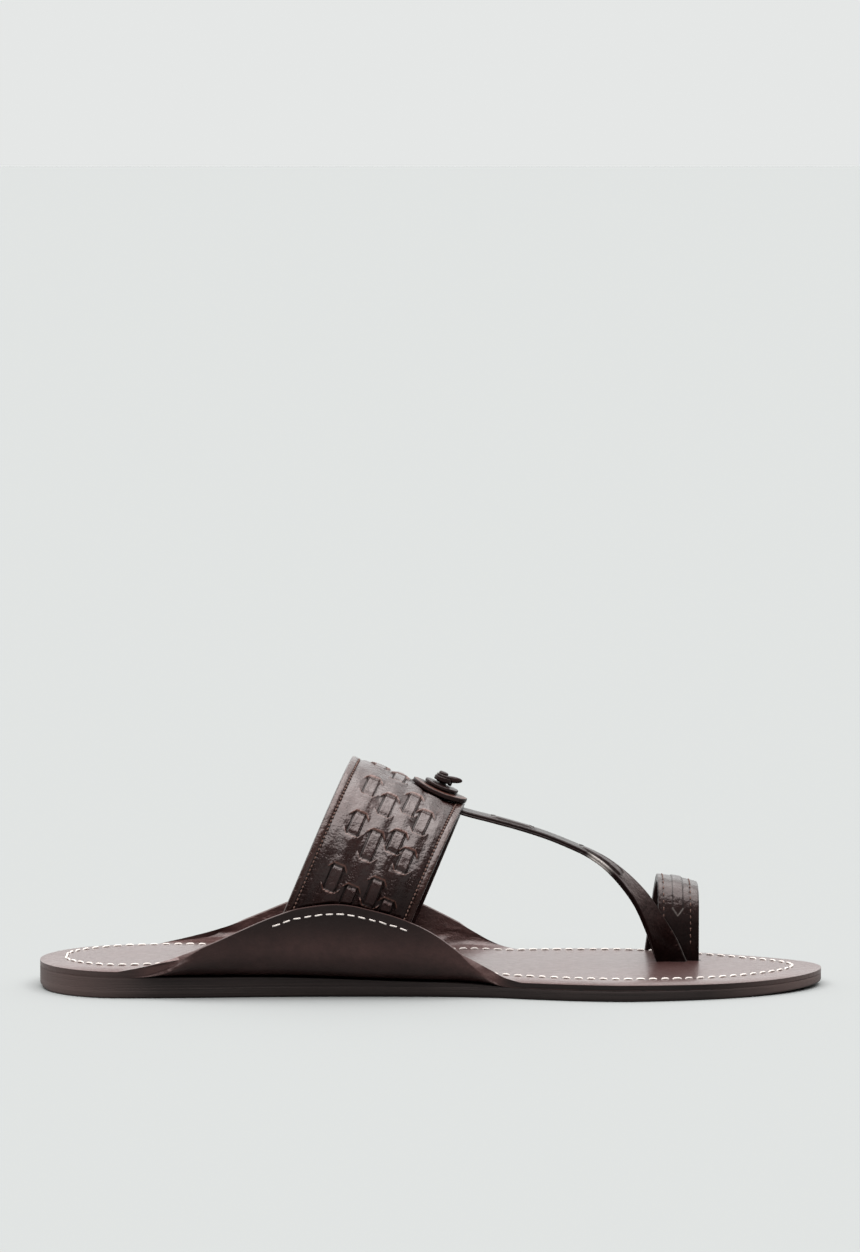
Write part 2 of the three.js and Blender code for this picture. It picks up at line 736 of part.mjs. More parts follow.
// A point of the ring at a share of its way from the outer slot over to the inner slot.
function ringPoint(share, across, lift) {
  const centre = half(RING.medialY + RING.lateralY);
  const halfSpan = half(RING.medialY - RING.lateralY);
  const line = ringLine(halfSpan);
  const p = line.getPointAt(share);
  const tangent = line.getTangentAt(share);
  const y = p.x - tangent.y * lift;
  const rise = p.y + tangent.x * lift;
  const high = clamp((rise - RING.shoulder) / (RING.top - RING.shoulder), 0, 1);
  const inner = clamp(y / halfSpan, 0, 1) * clamp((RING.top - p.y) / (RING.top - 5), 0, 1);
  const fall = RING.forwardFall * across + RING.dome * across * across;
  return new THREE.Vector3(RING.x + across - RING.footSetBack * inner, centre + y, rise - fall * high);
}

function ringLine(halfSpan) {
  const foot = outsoleLevel(STATION_OF_FEET) + GAP + SEAT_LEVEL;
  const knee = half(foot + RING.shoulder);
  const points = [new THREE.Vector2(-halfSpan, foot), new THREE.Vector2(-halfSpan, knee)];
  const steps = 12;
  for (let i = 0; i <= steps; i += 1) {
    const t = Math.PI * (i / steps);
    const power = 2 / RING.power;
    const y = -Math.sign(Math.cos(t)) * Math.abs(Math.cos(t)) ** power * halfSpan;
    const z = RING.shoulder + (RING.top - RING.shoulder) * Math.sin(t) ** power;
    points.push(new THREE.Vector2(y, z));
  }
  points.push(new THREE.Vector2(halfSpan, knee), new THREE.Vector2(halfSpan, foot));
  return new THREE.CatmullRomCurve3(
    points.map((p) => new THREE.Vector3(p.x, p.y, 0)),
    false,
    "centripetal",
  );
}

function makeToeRing() {
  const w = half(RING.width);
  const t = half(RING.thickness);
  const bevel = 0.4;
  const profile = [
    [-w, t - bevel],
    [bevel - w, t],
    [w - bevel, t],
    [w, t - bevel],
    [w, bevel - t],
    [w - bevel, -t],
    [bevel - w, -t],
    [-w, bevel - t],
  ];
  const count = 40;
  const rings = Array.from({ length: count + 1 }, (_, i) =>
    profile.map(([across, lift]) => ringPoint(i / count, across, lift)),
  );
  const face = (across, share, lift) => ringPoint(share, across, t + lift * (lift > 0 ? 0.35 : 2));
  return loft(rings).add(raisedThong(face, 0, 0.27, 0.73, 20));
}

// Knot and what lies under it

// A turned piece standing on the crest under the knot, from one height above the crest to another.
function standing(radiusX, radiusY, from, to, back = 0) {
  const cylinder = new THREE.CylinderGeometry(1, 1, 1, 18);
  cylinder.rotateX(half(Math.PI));
  cylinder.scale(radiusX, radiusY, to - from);
  cylinder.rotateY(BAND.slope);
  const middle = onCrest(KNOT.along - back, KNOT.y, half(from + to));
  cylinder.translate(middle.x, middle.y, middle.z);
  return solidOf(cylinder);
}

function knotHole() {
  return standing(KNOT.holeRadius, KNOT.holeRadius, -12, 12);
}

const patchFoot = BAND.roll + GAP;
const patchTop = patchFoot + KNOT.patchThickness;
const discFoot = patchTop + GAP;
const discTop = discFoot + KNOT.discThickness;
const rollFoot = discTop + GAP;
const rollTop = rollFoot + KNOT.rollHeight;

function makePatch() {
  return standing(half(KNOT.patchLength), half(KNOT.patchWidth), patchFoot, patchTop).subtract(knotHole());
}

function makeDisc() {
  return standing(KNOT.discRadius, KNOT.discRadius, discFoot, discTop).subtract(knotHole());
}

// The rolled thong: its roll, the nub on top, the free tail, and the shank down to its head.
function makeKnot() {
  const roll = standing(KNOT.rollRadius, KNOT.rollRadius, rollFoot, rollTop, KNOT.rollBack);
  const nub = standing(KNOT.nubRadius, KNOT.nubRadius, rollTop - 0.5, rollTop + KNOT.nubHeight, 1.3);
  const tail = new THREE.CylinderGeometry(KNOT.tailRadius * 0.55, KNOT.tailRadius, KNOT.tailLength, 12);
  tail.rotateZ(-half(Math.PI));
  const root = onCrest(KNOT.along + half(KNOT.rollRadius), KNOT.y - 0.6, rollTop - 1);
  tail.translate(root.x + half(KNOT.tailLength), root.y, root.z);
  const shankFoot = -BAND.thickness - half(STRAP.thickness) - 0.9;
  const shank = standing(KNOT.shankRadius, KNOT.shankRadius, shankFoot, rollFoot + 0.5);
  const head = standing(KNOT.headRadius, KNOT.headRadius, shankFoot - KNOT.headHeight, shankFoot);
  return roll.add(nub).add(solidOf(tail)).add(shank).add(head);
}

// Assembly

const sandal = new THREE.Group();

function addPiece(name, solid, finish) {
  const material = new THREE.MeshStandardMaterial({ ...finish, metalness: 0 });
  const mesh = new THREE.Mesh(geometryOf(solid), material);
  mesh.name = name;
  sandal.add(mesh);
}

addPiece("outsole", makeOutsole(), LEATHER.sole);
addPiece("heel_wedge", makeHeelWedge(), LEATHER.sole);
addPiece("winged_footbed", makeFootbed(), LEATHER.footbed);
addPiece("instep_band", makeBand(), LEATHER.band);
addPiece("toe_strap", makeToeStrap(), LEATHER.strap);
addPiece("toe_ring", makeToeRing(), LEATHER.strap);
addPiece("oval_patch", makePatch(), LEATHER.strap);
addPiece("knot_disc", makeDisc(), LEATHER.strap);
addPiece("thong_knot", makeKnot(), LEATHER.strap);

export default sandal;
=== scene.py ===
"""Toe post sandal, right shoe: its leather pieces, stitching, finishes, studio floor and camera.

Shapes are worked out in millimetres in the shared frame: +X from heel to toe, +Y to the inner side
of the foot, +Z up, with the origin on the ground under the middle of the sole. Stations are
measured from the heel's back. place_piece() turns millimetres into Blender's metres.
"""

import math
from collections import namedtuple

import bmesh
import bpy
import numpy as np
from bpy.props import FloatProperty, FloatVectorProperty, PointerProperty
from mathutils import Euler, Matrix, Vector


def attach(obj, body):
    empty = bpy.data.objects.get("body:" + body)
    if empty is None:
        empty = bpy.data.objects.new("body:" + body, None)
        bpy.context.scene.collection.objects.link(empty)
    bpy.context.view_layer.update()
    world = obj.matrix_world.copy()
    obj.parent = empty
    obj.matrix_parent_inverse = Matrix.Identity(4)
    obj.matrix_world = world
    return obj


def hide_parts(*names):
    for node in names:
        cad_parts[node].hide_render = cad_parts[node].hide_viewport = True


bl_info = {
    "name": "Toe post sandal",
    "version": (1, 0, 0),
    "blender": (4, 5, 0),
    "location": "3D View > Sidebar > Sandal",
    "description": "Builds the leather pieces, stitching, finishes and studio of a toe post sandal",
    "category": "Object",
}

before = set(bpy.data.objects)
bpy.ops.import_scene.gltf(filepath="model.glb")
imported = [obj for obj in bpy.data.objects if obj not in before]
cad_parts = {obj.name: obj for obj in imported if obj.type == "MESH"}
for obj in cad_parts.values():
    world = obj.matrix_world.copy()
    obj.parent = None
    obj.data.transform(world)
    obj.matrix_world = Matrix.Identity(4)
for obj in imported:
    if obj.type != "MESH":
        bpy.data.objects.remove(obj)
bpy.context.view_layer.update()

MM = 0.001


def table(names, *rows):
    """Named columns of a short table, each as an array."""
    return dict(zip(names.split(), np.array(rows, float).T))


# Sole
LENGTH = 255.0
HEEL_ROUND = 28.0
TOE_ROUND = 70.0
TIP_SHIFT = 3.0
SPRING_START = 215.0
TOE_SPRING = 1.4
GAP = 0.3
PAD_SPREAD = 500.0  # product of the distances to both sides at which the pad is full
HEEL_BEVEL = (5.0, 1.2)  # length and height
OUTSOLE_RISE = 0.28
WEDGE_END = 155.0
WEDGE_CLEAR = (0.31, 0.05)  # above the outsole's level and below the footbed's
BREADTHS = table(
    "station lateral medial",
    (0, 29, 29),
    (30, 29, 28.8),
    (50, 28.2, 28),
    (75, 26.3, 26.2),
    (104, 25.4, 27),
    (128, 25.9, 33),
    (147, 28, 39),
    (160, 31.5, 41.6),
    (175, 35, 43.2),
    (190, 36.6, 43.4),
    (210, 36.2, 41),
    (255, 36, 37),
)
LEVELS = table(
    "station outsole footbed edge pad",
    (0, 3.0, 7.0, 1.8, 0.8),
    (18, 3.0, 6.9, 1.8, 1.0),
    (36, 3.0, 6.8, 1.8, 1.6),
    (50, 3.0, 6.7, 1.8, 2.0),
    (75, 3.0, 6.5, 1.8, 1.9),
    (114, 3.0, 5.2, 1.8, 1.6),
    (140, 3.1, 4.4, 1.8, 1.3),
    (156, 3.2, 3.6, 1.8, 1.1),
    (185, 3.2, 3.6, 1.8, 0.9),
    (215, 3.0, 3.4, 1.7, 0.9),
    (255, 2.4, 2.8, 1.4, 0.8),
)

# Wings: height of the top edge above the ground
LATERAL_WING = table(
    "station top",
    (27, 8.7),
    (34.6, 10.2),
    (43, 12.6),
    (50.7, 15.5),
    (58.4, 18.6),
    (66.2, 22.1),
    (77.4, 26.8),
    (85.5, 29.3),
    (97, 30.5),
    (111, 27.9),
    (122.4, 24.0),
    (127.2, 21.5),
    (131.0, 19.0),
    (134.2, 16.5),
    (138.1, 13.7),
    (143.2, 11.0),
    (147.4, 8.7),
    (151.3, 6.7),
    (156, 5.5),
)
MEDIAL_WING = table(
    "station top",
    (34, 8.6),
    (40, 10.0),
    (48, 11.8),
    (56, 13.8),
    (64, 16.3),
    (72, 19.5),
    (80, 22.8),
    (91, 26.5),
    (103, 28.6),
    (115, 26.4),
    (125.5, 21.8),
    (133.8, 17.2),
    (142, 12.0),
    (147, 9.0),
    (152, 6.8),
    (157, 5.6),
)
FOLD_INSET = 6.0
WING_BEND = 6.5
WING_FLARE = 0.2
WING_HELD_UNTIL = 122.0
WING_OPENING = 18.0
WING_STITCHES = {"first": -49.6, "last": -8.8, "down": 2.9, "pitch": 3.5, "length": 2.75}

# Values of the footbed's seam mark away from its top: at the fold, at the wing's tip, and beyond it
FLAP_SEAM = (-1.0, -10.0)
UNDER_SEAM = -20.0

# Creases of the wings: both ends of each, its width and its push outwards
CREASES = table(
    "side x0 z0 x1 z1 width push",
    (1, 2, 9.6, 9, 11.4, 0.9, -0.5),
    (1, 1, 12.2, 11, 12.6, 1.1, 0.35),
    (1, 5, 13.8, 12, 12.6, 0.8, -0.35),
    (1, -62, 9, -60, 15, 1.6, -0.5),
    (1, -58.5, 9.5, -57, 16, 1.4, 0.4),
    (1, -55, 10, -53.5, 18, 1.8, -0.45),
    (1, -50.5, 11, -50, 20, 1.7, 0.35),
    (1, -46.5, 12, -47, 22, 1.8, -0.4),
    (-1, 17, 8.2, 25, 9.4, 1.0, -0.35),
    (-1, -62, 9.4, -52, 12.6, 1.3, -0.3),
    (-1, -30, 11, -8, 10.2, 2.2, -0.25),
)

# Slots of the footbed's finish, painted dark as shade and sunk by bump, each given from its middle
FOOT_SLOTS = table(
    "x y half_length half_width",
    (81.4, 14.5, 7.1, 1.4),
    (81.0, 11.8, 2.2, 1.6),
    (77.7, 37.4, 7.1, 1.4),
)

# Instep band
BAND_SLOPE = math.radians(22.8)
BAND_REAR = (-25.7, 74.5)  # x and z of its back edge on the crest
BAND_WIDTH = 39.8
BAND_SKEW = (0.055, 0.025)  # on the outer and on the inner side
BAND_WIDENING = 0.03
BAND_THICKNESS = 2.4
BAND_CREST_Y = 4.0
BAND_CAP = 34.0
BAND_LEAN = 0.05
BAND_SIDES = {-1: (32.3, 2.0), 1: (25.0, 2.15)}  # reach and power of each side's curve
BAND_END = 64.0
BAND_TUCK = 16.0
BAND_TUCK_FALL = 0.07
BAND_ROLL = 0.25
PRICK_INSET = 2.5
PRICK_STITCH = {"length": 1.1, "radius": 0.26}

# Thong that is laced through the band: how far down the outer side each visible stretch lies
LACE_WIDTH = 3.7
LACE_COLUMNS = 4
# The slit mark is painted shade: in slits, beside the thong, in prick holes and in stitch grooves
LACE_MARKS = ("thong", "slit", "raw")
SLIT_REACH = 3.3
LACES = table(
    "across down length",
    (9.8, -51, 9),
    (17.0, -45.7, 9),
    (24.3, -50.5, 9),
    (29.7, -46, 9),
    (9.8, -34, 9),
    (17.0, -28.7, 9),
    (24.3, -33.5, 9),
    (29.7, -29, 9),
    (9.8, -17, 9),
    (17.0, -11.7, 9),
    (24.3, -16.5, 9),
    (29.7, -12, 9),
    (9.8, 0, 9),
    (17.0, 5.3, 9),
    (24.3, 0.5, 9),
    (29.7, 5, 9),
    (9.9, 18, 9),
    (17.3, 23.3, 9.2),
    (24.4, 18.6, 10.4),
    (30.0, 24.2, 9.8),
    (10.5, 34, 8.3),
    (17.8, 38.8, 10.2),
    (24.8, 34.6, 7.9),
    (29.9, 39.2, 8),
    (10.7, 52.9, 9),
    (17.5, 57.4, 9),
    (24.5, 52.5, 9.6),
    (30.3, 57.1, 9),
)

# Toe strap: middle line and turn about it
STRAP_WIDTH = 9.4
STRAP_THICKNESS = 1.7
STRAP_LINE = table(
    "x y z turn",
    (-4.0, 3.2, 62.4, 0),
    (4.5, 3.2, 59.0, 0),
    (10.4, 3.2, 56.7, 0),
    (19.7, 3.4, 54.2, 0),
    (29.0, 3.7, 51.6, 0),
    (38.3, 4.2, 48.5, 0),
    (47.6, 4.8, 44.6, 1),
    (52.3, 5.2, 42.3, 4),
    (57.5, 6.0, 38.9, 10),
    (63.9, 7.2, 32.9, 20),
    (69.0, 8.3, 26.5, 30),
    (73.6, 9.4, 18.2, 45),
    (76.6, 10.6, 11.8, 66),
    (78.8, 11.5, 6.4, 84),
    (81.0, 11.8, 1.5, 88),
)
STRAP_LACES = ((19.4, 33.2), (48.2, 62.0))
STRAP_LACE_HEIGHT = 0.7

# Toe ring
RING_WIDTH = 13.4
RING_THICKNESS = 2.2
RING_X = 81.4
RING_SET_BACK = 3.7
RING_LATERAL = 14.5
RING_MEDIAL = 37.4
RING_TOP = 30.8
RING_SHOULDER = 17.5
RING_POWER = 3.2
RING_FALL = 0.2
RING_DOME = 0.008
RING_TONGUE = 3.4
TONGUE_TIP = 20.8  # height of its point, and how far above it the tongue is at its full width
TONGUE_TAPER = 2.3
RING_STITCH_ROWS = (-4.9, 3.9)
RING_STITCH = {"pitch": 2.1, "length": 1.3, "radius": 0.18}
RING_FEET_UNSEWN = 4
FEET_LEVEL = 3.5

# Knot and what lies under it, from the band's back edge along the crest
KNOT_ALONG = 30.5
KNOT_Y = 2.5
PATCH_LENGTH = 18.8
PATCH_WIDTH = 15.0
PATCH_LEVELS = (0.55, 2.05)
DISC_RADIUS = 5.7
DISC_LEVELS = (2.35, 3.35)
ROLL_RADIUS = 3.2
ROLL_LEVELS = (3.65, 6.65)
ROLL_TURNS = 2.0
ROLL_NARROWING = 0.7
THONG_THICKNESS = 1.2
NUB_RADIUS = 1.6
SHANK_RADIUS = 1.2
HEAD_RADIUS = 2.6
HEAD_LEVELS = (-5.35, -4.15)

# Steps in the mesh of a washer's faces and roundings, and the row that lies on its upper rim
FACE_STEPS = 7
ROUND_STEPS = 6
RIM_ROW = FACE_STEPS + 2 * ROUND_STEPS - 1

# Steps along and round a stitch
STITCH_RINGS = 9
STITCH_SIDES = 8


class SandalSizes(bpy.types.PropertyGroup):
    """Sizes of the stitching and relief that a user may change."""

    stitch_pitch: FloatProperty(
        name="Stitch pitch",
        description="Distance from stitch to stitch along the footbed",
        default=4.0 * MM,
        min=2 * MM,
        max=8 * MM,
        unit="LENGTH",
    )
    stitch_length: FloatProperty(
        name="Stitch length",
        description="Length of thread that shows in each stitch",
        default=3.2 * MM,
        min=1 * MM,
        max=7 * MM,
        unit="LENGTH",
    )
    stitch_radius: FloatProperty(
        name="Thread radius",
        description="Half the thickness of the white thread",
        default=0.38 * MM,
        min=0.1 * MM,
        max=1 * MM,
        unit="LENGTH",
    )
    prick_pitch: FloatProperty(
        name="Prick pitch",
        description="Distance from stitch to stitch along the edges of the band and the ring",
        default=1.45 * MM,
        min=1 * MM,
        max=4 * MM,
        unit="LENGTH",
    )
    lace_height: FloatProperty(
        name="Lace height",
        description="How far the laced thong stands above the band",
        default=1.0 * MM,
        min=0.2 * MM,
        max=2 * MM,
        unit="LENGTH",
    )


class SandalColours(bpy.types.PropertyGroup):
    """Colours of the leathers, threads and floor that a user may change."""

    footbed: FloatVectorProperty(
        name="Footbed",
        description="Colour of the footbed and wing leather",
        default=(0.0228, 0.0110, 0.0100),
        size=3,
        subtype="COLOR",
        min=0,
        max=1,
    )
    band: FloatVectorProperty(
        name="Band",
        description="Colour of the band leather",
        default=(0.0118, 0.0036, 0.0031),
        size=3,
        subtype="COLOR",
        min=0,
        max=1,
    )
    strap: FloatVectorProperty(
        name="Strap and ring",
        description="Colour of the strap, ring, patch and knot leather",
        default=(0.0075, 0.0026, 0.0023),
        size=3,
        subtype="COLOR",
        min=0,
        max=1,
    )
    sole: FloatVectorProperty(
        name="Sole edge",
        description="Colour of the burnished sole edge",
        default=(0.0056, 0.0037, 0.0034),
        size=3,
        subtype="COLOR",
        min=0,
        max=1,
    )
    raw_edge: FloatVectorProperty(
        name="Raw edge",
        description="Colour of freshly cut leather in the slits",
        default=(0.085, 0.033, 0.023),
        size=3,
        subtype="COLOR",
        min=0,
        max=1,
    )
    thread: FloatVectorProperty(
        name="Thread",
        description="Colour of the white stitching thread",
        default=(0.48, 0.43, 0.405),
        size=3,
        subtype="COLOR",
        min=0,
        max=1,
    )
    floor: FloatVectorProperty(
        name="Floor",
        description="Colour of the studio floor",
        default=(0.1925, 0.1945, 0.1935),
        size=3,
        subtype="COLOR",
        min=0,
        max=1,
    )


# Arithmetic on whole arrays


def lerp(a, b, share):
    """a at share 0, b at share 1, and in a straight line between."""
    return a + (b - a) * share


def smooth(t):
    """0 below 0, 1 above 1 and 3t^2 - 2t^3 between."""
    t = np.clip(t, 0, 1)
    return t * t * (3 - 2 * t)


def bell(distance, width):
    """A soft hump: e to the power of minus (distance / width) squared."""
    return np.exp(-((distance / width) ** 2))


def column(rows, name, key="station"):
    """A cubic through a table's column that never overshoots its rows.

    The slope at each row is the weighted harmonic mean of the rises on its two sides, or 0 at a
    turning point.
    """
    x, y = rows[key], rows[name]
    run = np.diff(x)
    rise = np.diff(y) / run
    before = 2 * run[1:] + run[:-1]
    after = run[1:] + 2 * run[:-1]
    same = rise[:-1] * rise[1:] > 0
    left = np.where(same, rise[:-1], 1)
    right = np.where(same, rise[1:], 1)
    inner = np.where(same, (before + after) / (before / left + after / right), 0)
    slope = np.concatenate([rise[:1], inner, rise[-1:]])

    def at(value):
        t = np.clip(value, x[0], x[-1])
        i = np.clip(np.searchsorted(x, t, side="right") - 1, 0, len(run) - 1)
        u = (t - x[i]) / run[i]
        return (
            (2 * u**3 - 3 * u**2 + 1) * y[i]
            + (u**3 - 2 * u**2 + u) * run[i] * slope[i]
            + (3 * u**2 - 2 * u**3) * y[i + 1]
            + (u**3 - u**2) * run[i] * slope[i + 1]
        )

    return at


lateral_breadth = column(BREADTHS, "lateral")
medial_breadth = column(BREADTHS, "medial")
outsole_level = column(LEVELS, "outsole")
footbed_level = column(LEVELS, "footbed")
edge_thickness = column(LEVELS, "edge")
pad_height = column(LEVELS, "pad")
lateral_wing = column(LATERAL_WING, "top")
medial_wing = column(MEDIAL_WING, "top")
strap_turn = column(STRAP_LINE, "turn", "x")


def unit(vectors):
    """The vectors at length 1."""
    return vectors / np.maximum(np.linalg.norm(vectors, axis=-1, keepdims=True), 1e-12)


def stack(*parts):
    """Coordinates as one array of points, each part stretched to the common shape."""
    return np.stack(np.broadcast_arrays(*parts), axis=-1)


# Sole outline


def outline(station):
    """y of the sole's outer and inner side: half breadths times a quarter ellipse at each end."""
    heel = np.clip((HEEL_ROUND - station) / HEEL_ROUND, 0, 1)
    toe = np.clip((station - LENGTH + TOE_ROUND) / TOE_ROUND, 0, 1)
    rounding = np.sqrt(1 - heel**2) * np.sqrt(1 - toe**2)
    shift = TIP_SHIFT * toe**2
    return shift - lateral_breadth(station) * rounding, shift + medial_breadth(station) * rounding


def toe_spring(station):
    """Rise of the toe: grows with the square of the way past the spring's start."""
    share = np.maximum(0, station - SPRING_START) / (LENGTH - SPRING_START)
    return TOE_SPRING * share**2


def sole_loop(count):
    """Places round the sole: station, side, the outline's point and its outward direction.

    Stations are spaced as half of 1 minus the cosine, so that they crowd at both ends; the loop
    runs up the outer side and back along the inner side.
    """
    share = (1 - np.cos(np.pi * np.arange(count + 1) / count)) / 2
    station = LENGTH * np.concatenate([share, share[-2:0:-1]])
    side = np.concatenate([-np.ones(count + 1), np.ones(count - 1)])
    lateral, medial = outline(station)
    points = stack(station - LENGTH / 2, np.where(side < 0, lateral, medial))
    along = np.roll(points, -1, axis=0) - np.roll(points, 1, axis=0)
    outward = unit(stack(along[:, 1], -along[:, 0]))
    return station, side, points, outward


def spine(station):
    """Points on the sole's middle line that the places round the sole run in to."""
    x = lerp(12, LENGTH - 16, (1 - np.cos(np.pi * station / LENGTH)) / 2 * 0.15 + 0.85 * station / LENGTH)
    lateral, medial = outline(x)
    return stack(x - LENGTH / 2, (lateral + medial) / 2)


def pad_at(x, y):
    """The padded middle falls away towards the outline as a parabola of the distances to both sides."""
    station = x + LENGTH / 2
    lateral, medial = outline(station)
    inside = np.clip((y - lateral) * (medial - y) / PAD_SPREAD, 0, 1)
    return pad_height(station) * (1 - (1 - inside) ** 2)


def footbed_top(x, y):
    """Height of the footbed's upper face inside the fold."""
    station = x + LENGTH / 2
    return footbed_level(station) + edge_thickness(station) + toe_spring(station) + pad_at(x, y)


def sole_layer(count, bottom, top, low_round, high_round):
    """A flat layer of the sole with rounded edges.

    Each place round the outline carries a section: in from the middle line along the bottom, up the
    side through two quarter rounds, and back in along the top.
    """
    station, _, points, outward = sole_loop(count)
    middle = spine(station)
    turn = np.linspace(0, np.pi / 2, 5)
    inset = np.concatenate([low_round * (1 - np.sin(turn)), high_round * (1 - np.cos(turn))])
    rise = np.concatenate([low_round * (1 - np.cos(turn)), -high_round * (1 - np.sin(turn))])
    from_top = np.repeat([0, 1], 5)
    low, high = bottom(station)[:, None], top(station)[:, None]
    side_xy = points[:, None] - outward[:, None] * inset[None, :, None]
    side_z = np.where(from_top, high, low) + rise
    shares = np.linspace(0, 1, 9)[:-1]
    low_xy = lerp(middle[:, None], side_xy[:, :1], shares[None, :, None])
    high_xy = lerp(side_xy[:, -1:], middle[:, None], (1 - shares[::-1])[None, :, None])
    low_z = bottom(low_xy[..., 0] + LENGTH / 2)
    high_z = top(high_xy[..., 0] + LENGTH / 2)
    xy = np.concatenate([low_xy, side_xy, high_xy], axis=1)
    z = np.concatenate([low_z, side_z, high_z], axis=1)
    return np.concatenate([xy, z[..., None]], axis=-1)


# Footbed and wings


def depth_below_crest(x, z):
    """Distance below the band's crest line."""
    return -(x - BAND_REAR[0]) * math.sin(BAND_SLOPE) - (z - BAND_REAR[1]) * math.cos(BAND_SLOPE)


def wall_y(side, x, z):
    """How far out a wing's inner face stands: just outside the band's straight side."""
    lateral_reach = BAND_SIDES[-1][0] - BAND_CREST_Y
    medial_reach = BAND_SIDES[1][0] + BAND_CREST_Y
    reach = np.where(side < 0, lateral_reach, medial_reach)
    return reach + BAND_ROLL + 1.5 * GAP + BAND_LEAN * (depth_below_crest(x, z) - BAND_CAP)


WingSection = namedtuple("WingSection", "rim under edge tip upright wall tip_y fold_y")


def wing_section(station, side):
    """What shapes the footbed's sections: distances outwards from the middle line, and heights.

    They are the rim's distance, the heights of underside, low edge and tip, how upright the wing
    stands, its wall as a function of height, and the distances of tip and fold. A wing bends up from
    the fold as one cubic curve and then runs straight to its tip along the band's wall.
    """
    x = station - LENGTH / 2
    lateral, medial = outline(station)
    rim = np.where(side < 0, -lateral, medial)
    under = footbed_level(station) + toe_spring(station)
    edge = under + edge_thickness(station)
    top = np.where(side < 0, lateral_wing(station), medial_wing(station))
    first = np.where(side < 0, LATERAL_WING["station"][0], MEDIAL_WING["station"][0])
    last = np.where(side < 0, LATERAL_WING["station"][-1], MEDIAL_WING["station"][-1])
    inside = (station > first) & (station < last)
    tip = np.where(inside, np.maximum(top, edge), edge)
    upright = smooth((tip - edge) / 9)
    held = 1 - smooth((station - WING_HELD_UNTIL) / WING_OPENING)

    def wall(z):
        return lerp(rim + WING_FLARE, wall_y(side, x, z), held)

    tip_y = lerp(rim, wall(tip), upright)
    fold_y = np.minimum(rim - FOLD_INSET, lerp(rim - FOLD_INSET, wall(tip) - FOLD_INSET, upright))
    return WingSection(rim, under, edge, tip, upright, wall, tip_y, fold_y)


def footbed_section(station, side, fold_z, bend_steps=13, wing_steps=17):
    """Upper and under face of a section from the fold to the cut edge, and the cut edge's bulge.

    Returns distances outwards and heights, shaped places by steps. The under face is the upper one
    moved by the leather's thickness square to it, or the flat underside where no wing stands.
    """
    _, under, edge, tip, upright, wall, tip_y, fold_y = wing_section(station, side)
    bend_z = fold_z + np.minimum(WING_BEND, 0.55 * (tip - fold_z))
    start = stack(fold_y, fold_z)
    end = stack(tip_y, tip)
    bend = lerp(end, stack(wall(bend_z), bend_z), upright[:, None])
    reach = bend[:, 0] - fold_y
    first = stack(fold_y + reach * lerp(0.45, 0.75, upright), fold_z)
    second_z = lerp(lerp(edge, fold_z, 0.5), lerp(fold_z, bend_z, 0.4), upright)
    second = stack(bend[:, 0] - reach * lerp(0.2, 0, upright), second_z)
    t = np.linspace(0, 1, bend_steps + 1)[None, :, None]
    p0, p1, p2, p3 = (p[:, None] for p in (start, first, second, bend))
    curve = (1 - t) ** 3 * p0 + 3 * t * (1 - t) ** 2 * p1 + 3 * t**2 * (1 - t) * p2 + t**3 * p3
    slope = 3 * (1 - t) ** 2 * (p1 - p0) + 6 * t * (1 - t) * (p2 - p1) + 3 * t**2 * (p3 - p2)
    r = np.linspace(0, 1, wing_steps + 1)[None, 1:, None]
    straight = lerp(bend[:, None], end[:, None], r)
    run = end - bend
    length = np.linalg.norm(run, axis=1, keepdims=True)
    heading = np.where(length > 0.01, unit(run), unit(slope[:, -1]))
    upper = np.concatenate([curve, straight], axis=1)
    tangent = np.concatenate([unit(slope), np.repeat(heading[:, None], wing_steps, axis=1)], axis=1)
    share = np.concatenate([t[0, :, 0] * 5 / 7, 5 / 7 + r[0, :, 0] * 2 / 7])
    thickness = edge_thickness(station)
    depth = lerp((fold_z - under)[:, None], thickness[:, None], smooth(2 * share)[None])
    folded = upper + stack(tangent[..., 1], -tangent[..., 0]) * depth[..., None]
    flat = stack(upper[..., 0], under[:, None])
    lower = lerp(flat, folded, upright[:, None, None])
    f = np.linspace(0, 1, 7)[None, 1:-1, None]
    bulge = np.minimum(0.45, 0.25 * thickness)[:, None, None] * np.sqrt(1 - (2 * f - 1) ** 2)
    outward = lerp(stack(np.ones(len(station)), np.zeros(len(station))), heading, upright[:, None])
    bulge = (bulge - 0.2) * upright[:, None, None]
    rim_edge = lerp(upper[:, -1:], lower[:, -1:], f) + unit(outward)[:, None] * bulge
    return upper, rim_edge, lower


FootbedLines = namedtuple("FootbedLines", "station side points outward standing rim fold middle")


def footbed_lines(count):
    """What the footbed and its stitching share: places, fold points and the way in to the middle."""
    station, side, points, outward = sole_loop(count)
    wing = wing_section(station, side)
    sideways = stack(np.zeros(len(side)), side)
    standing = smooth((wing.tip - wing.edge) / 2.5)[:, None]
    outward = unit(lerp(outward, sideways, standing))
    fold = points + outward * (wing.fold_y - wing.rim)[:, None]
    return FootbedLines(station, side, points, outward, standing, wing.rim, fold, spine(station))


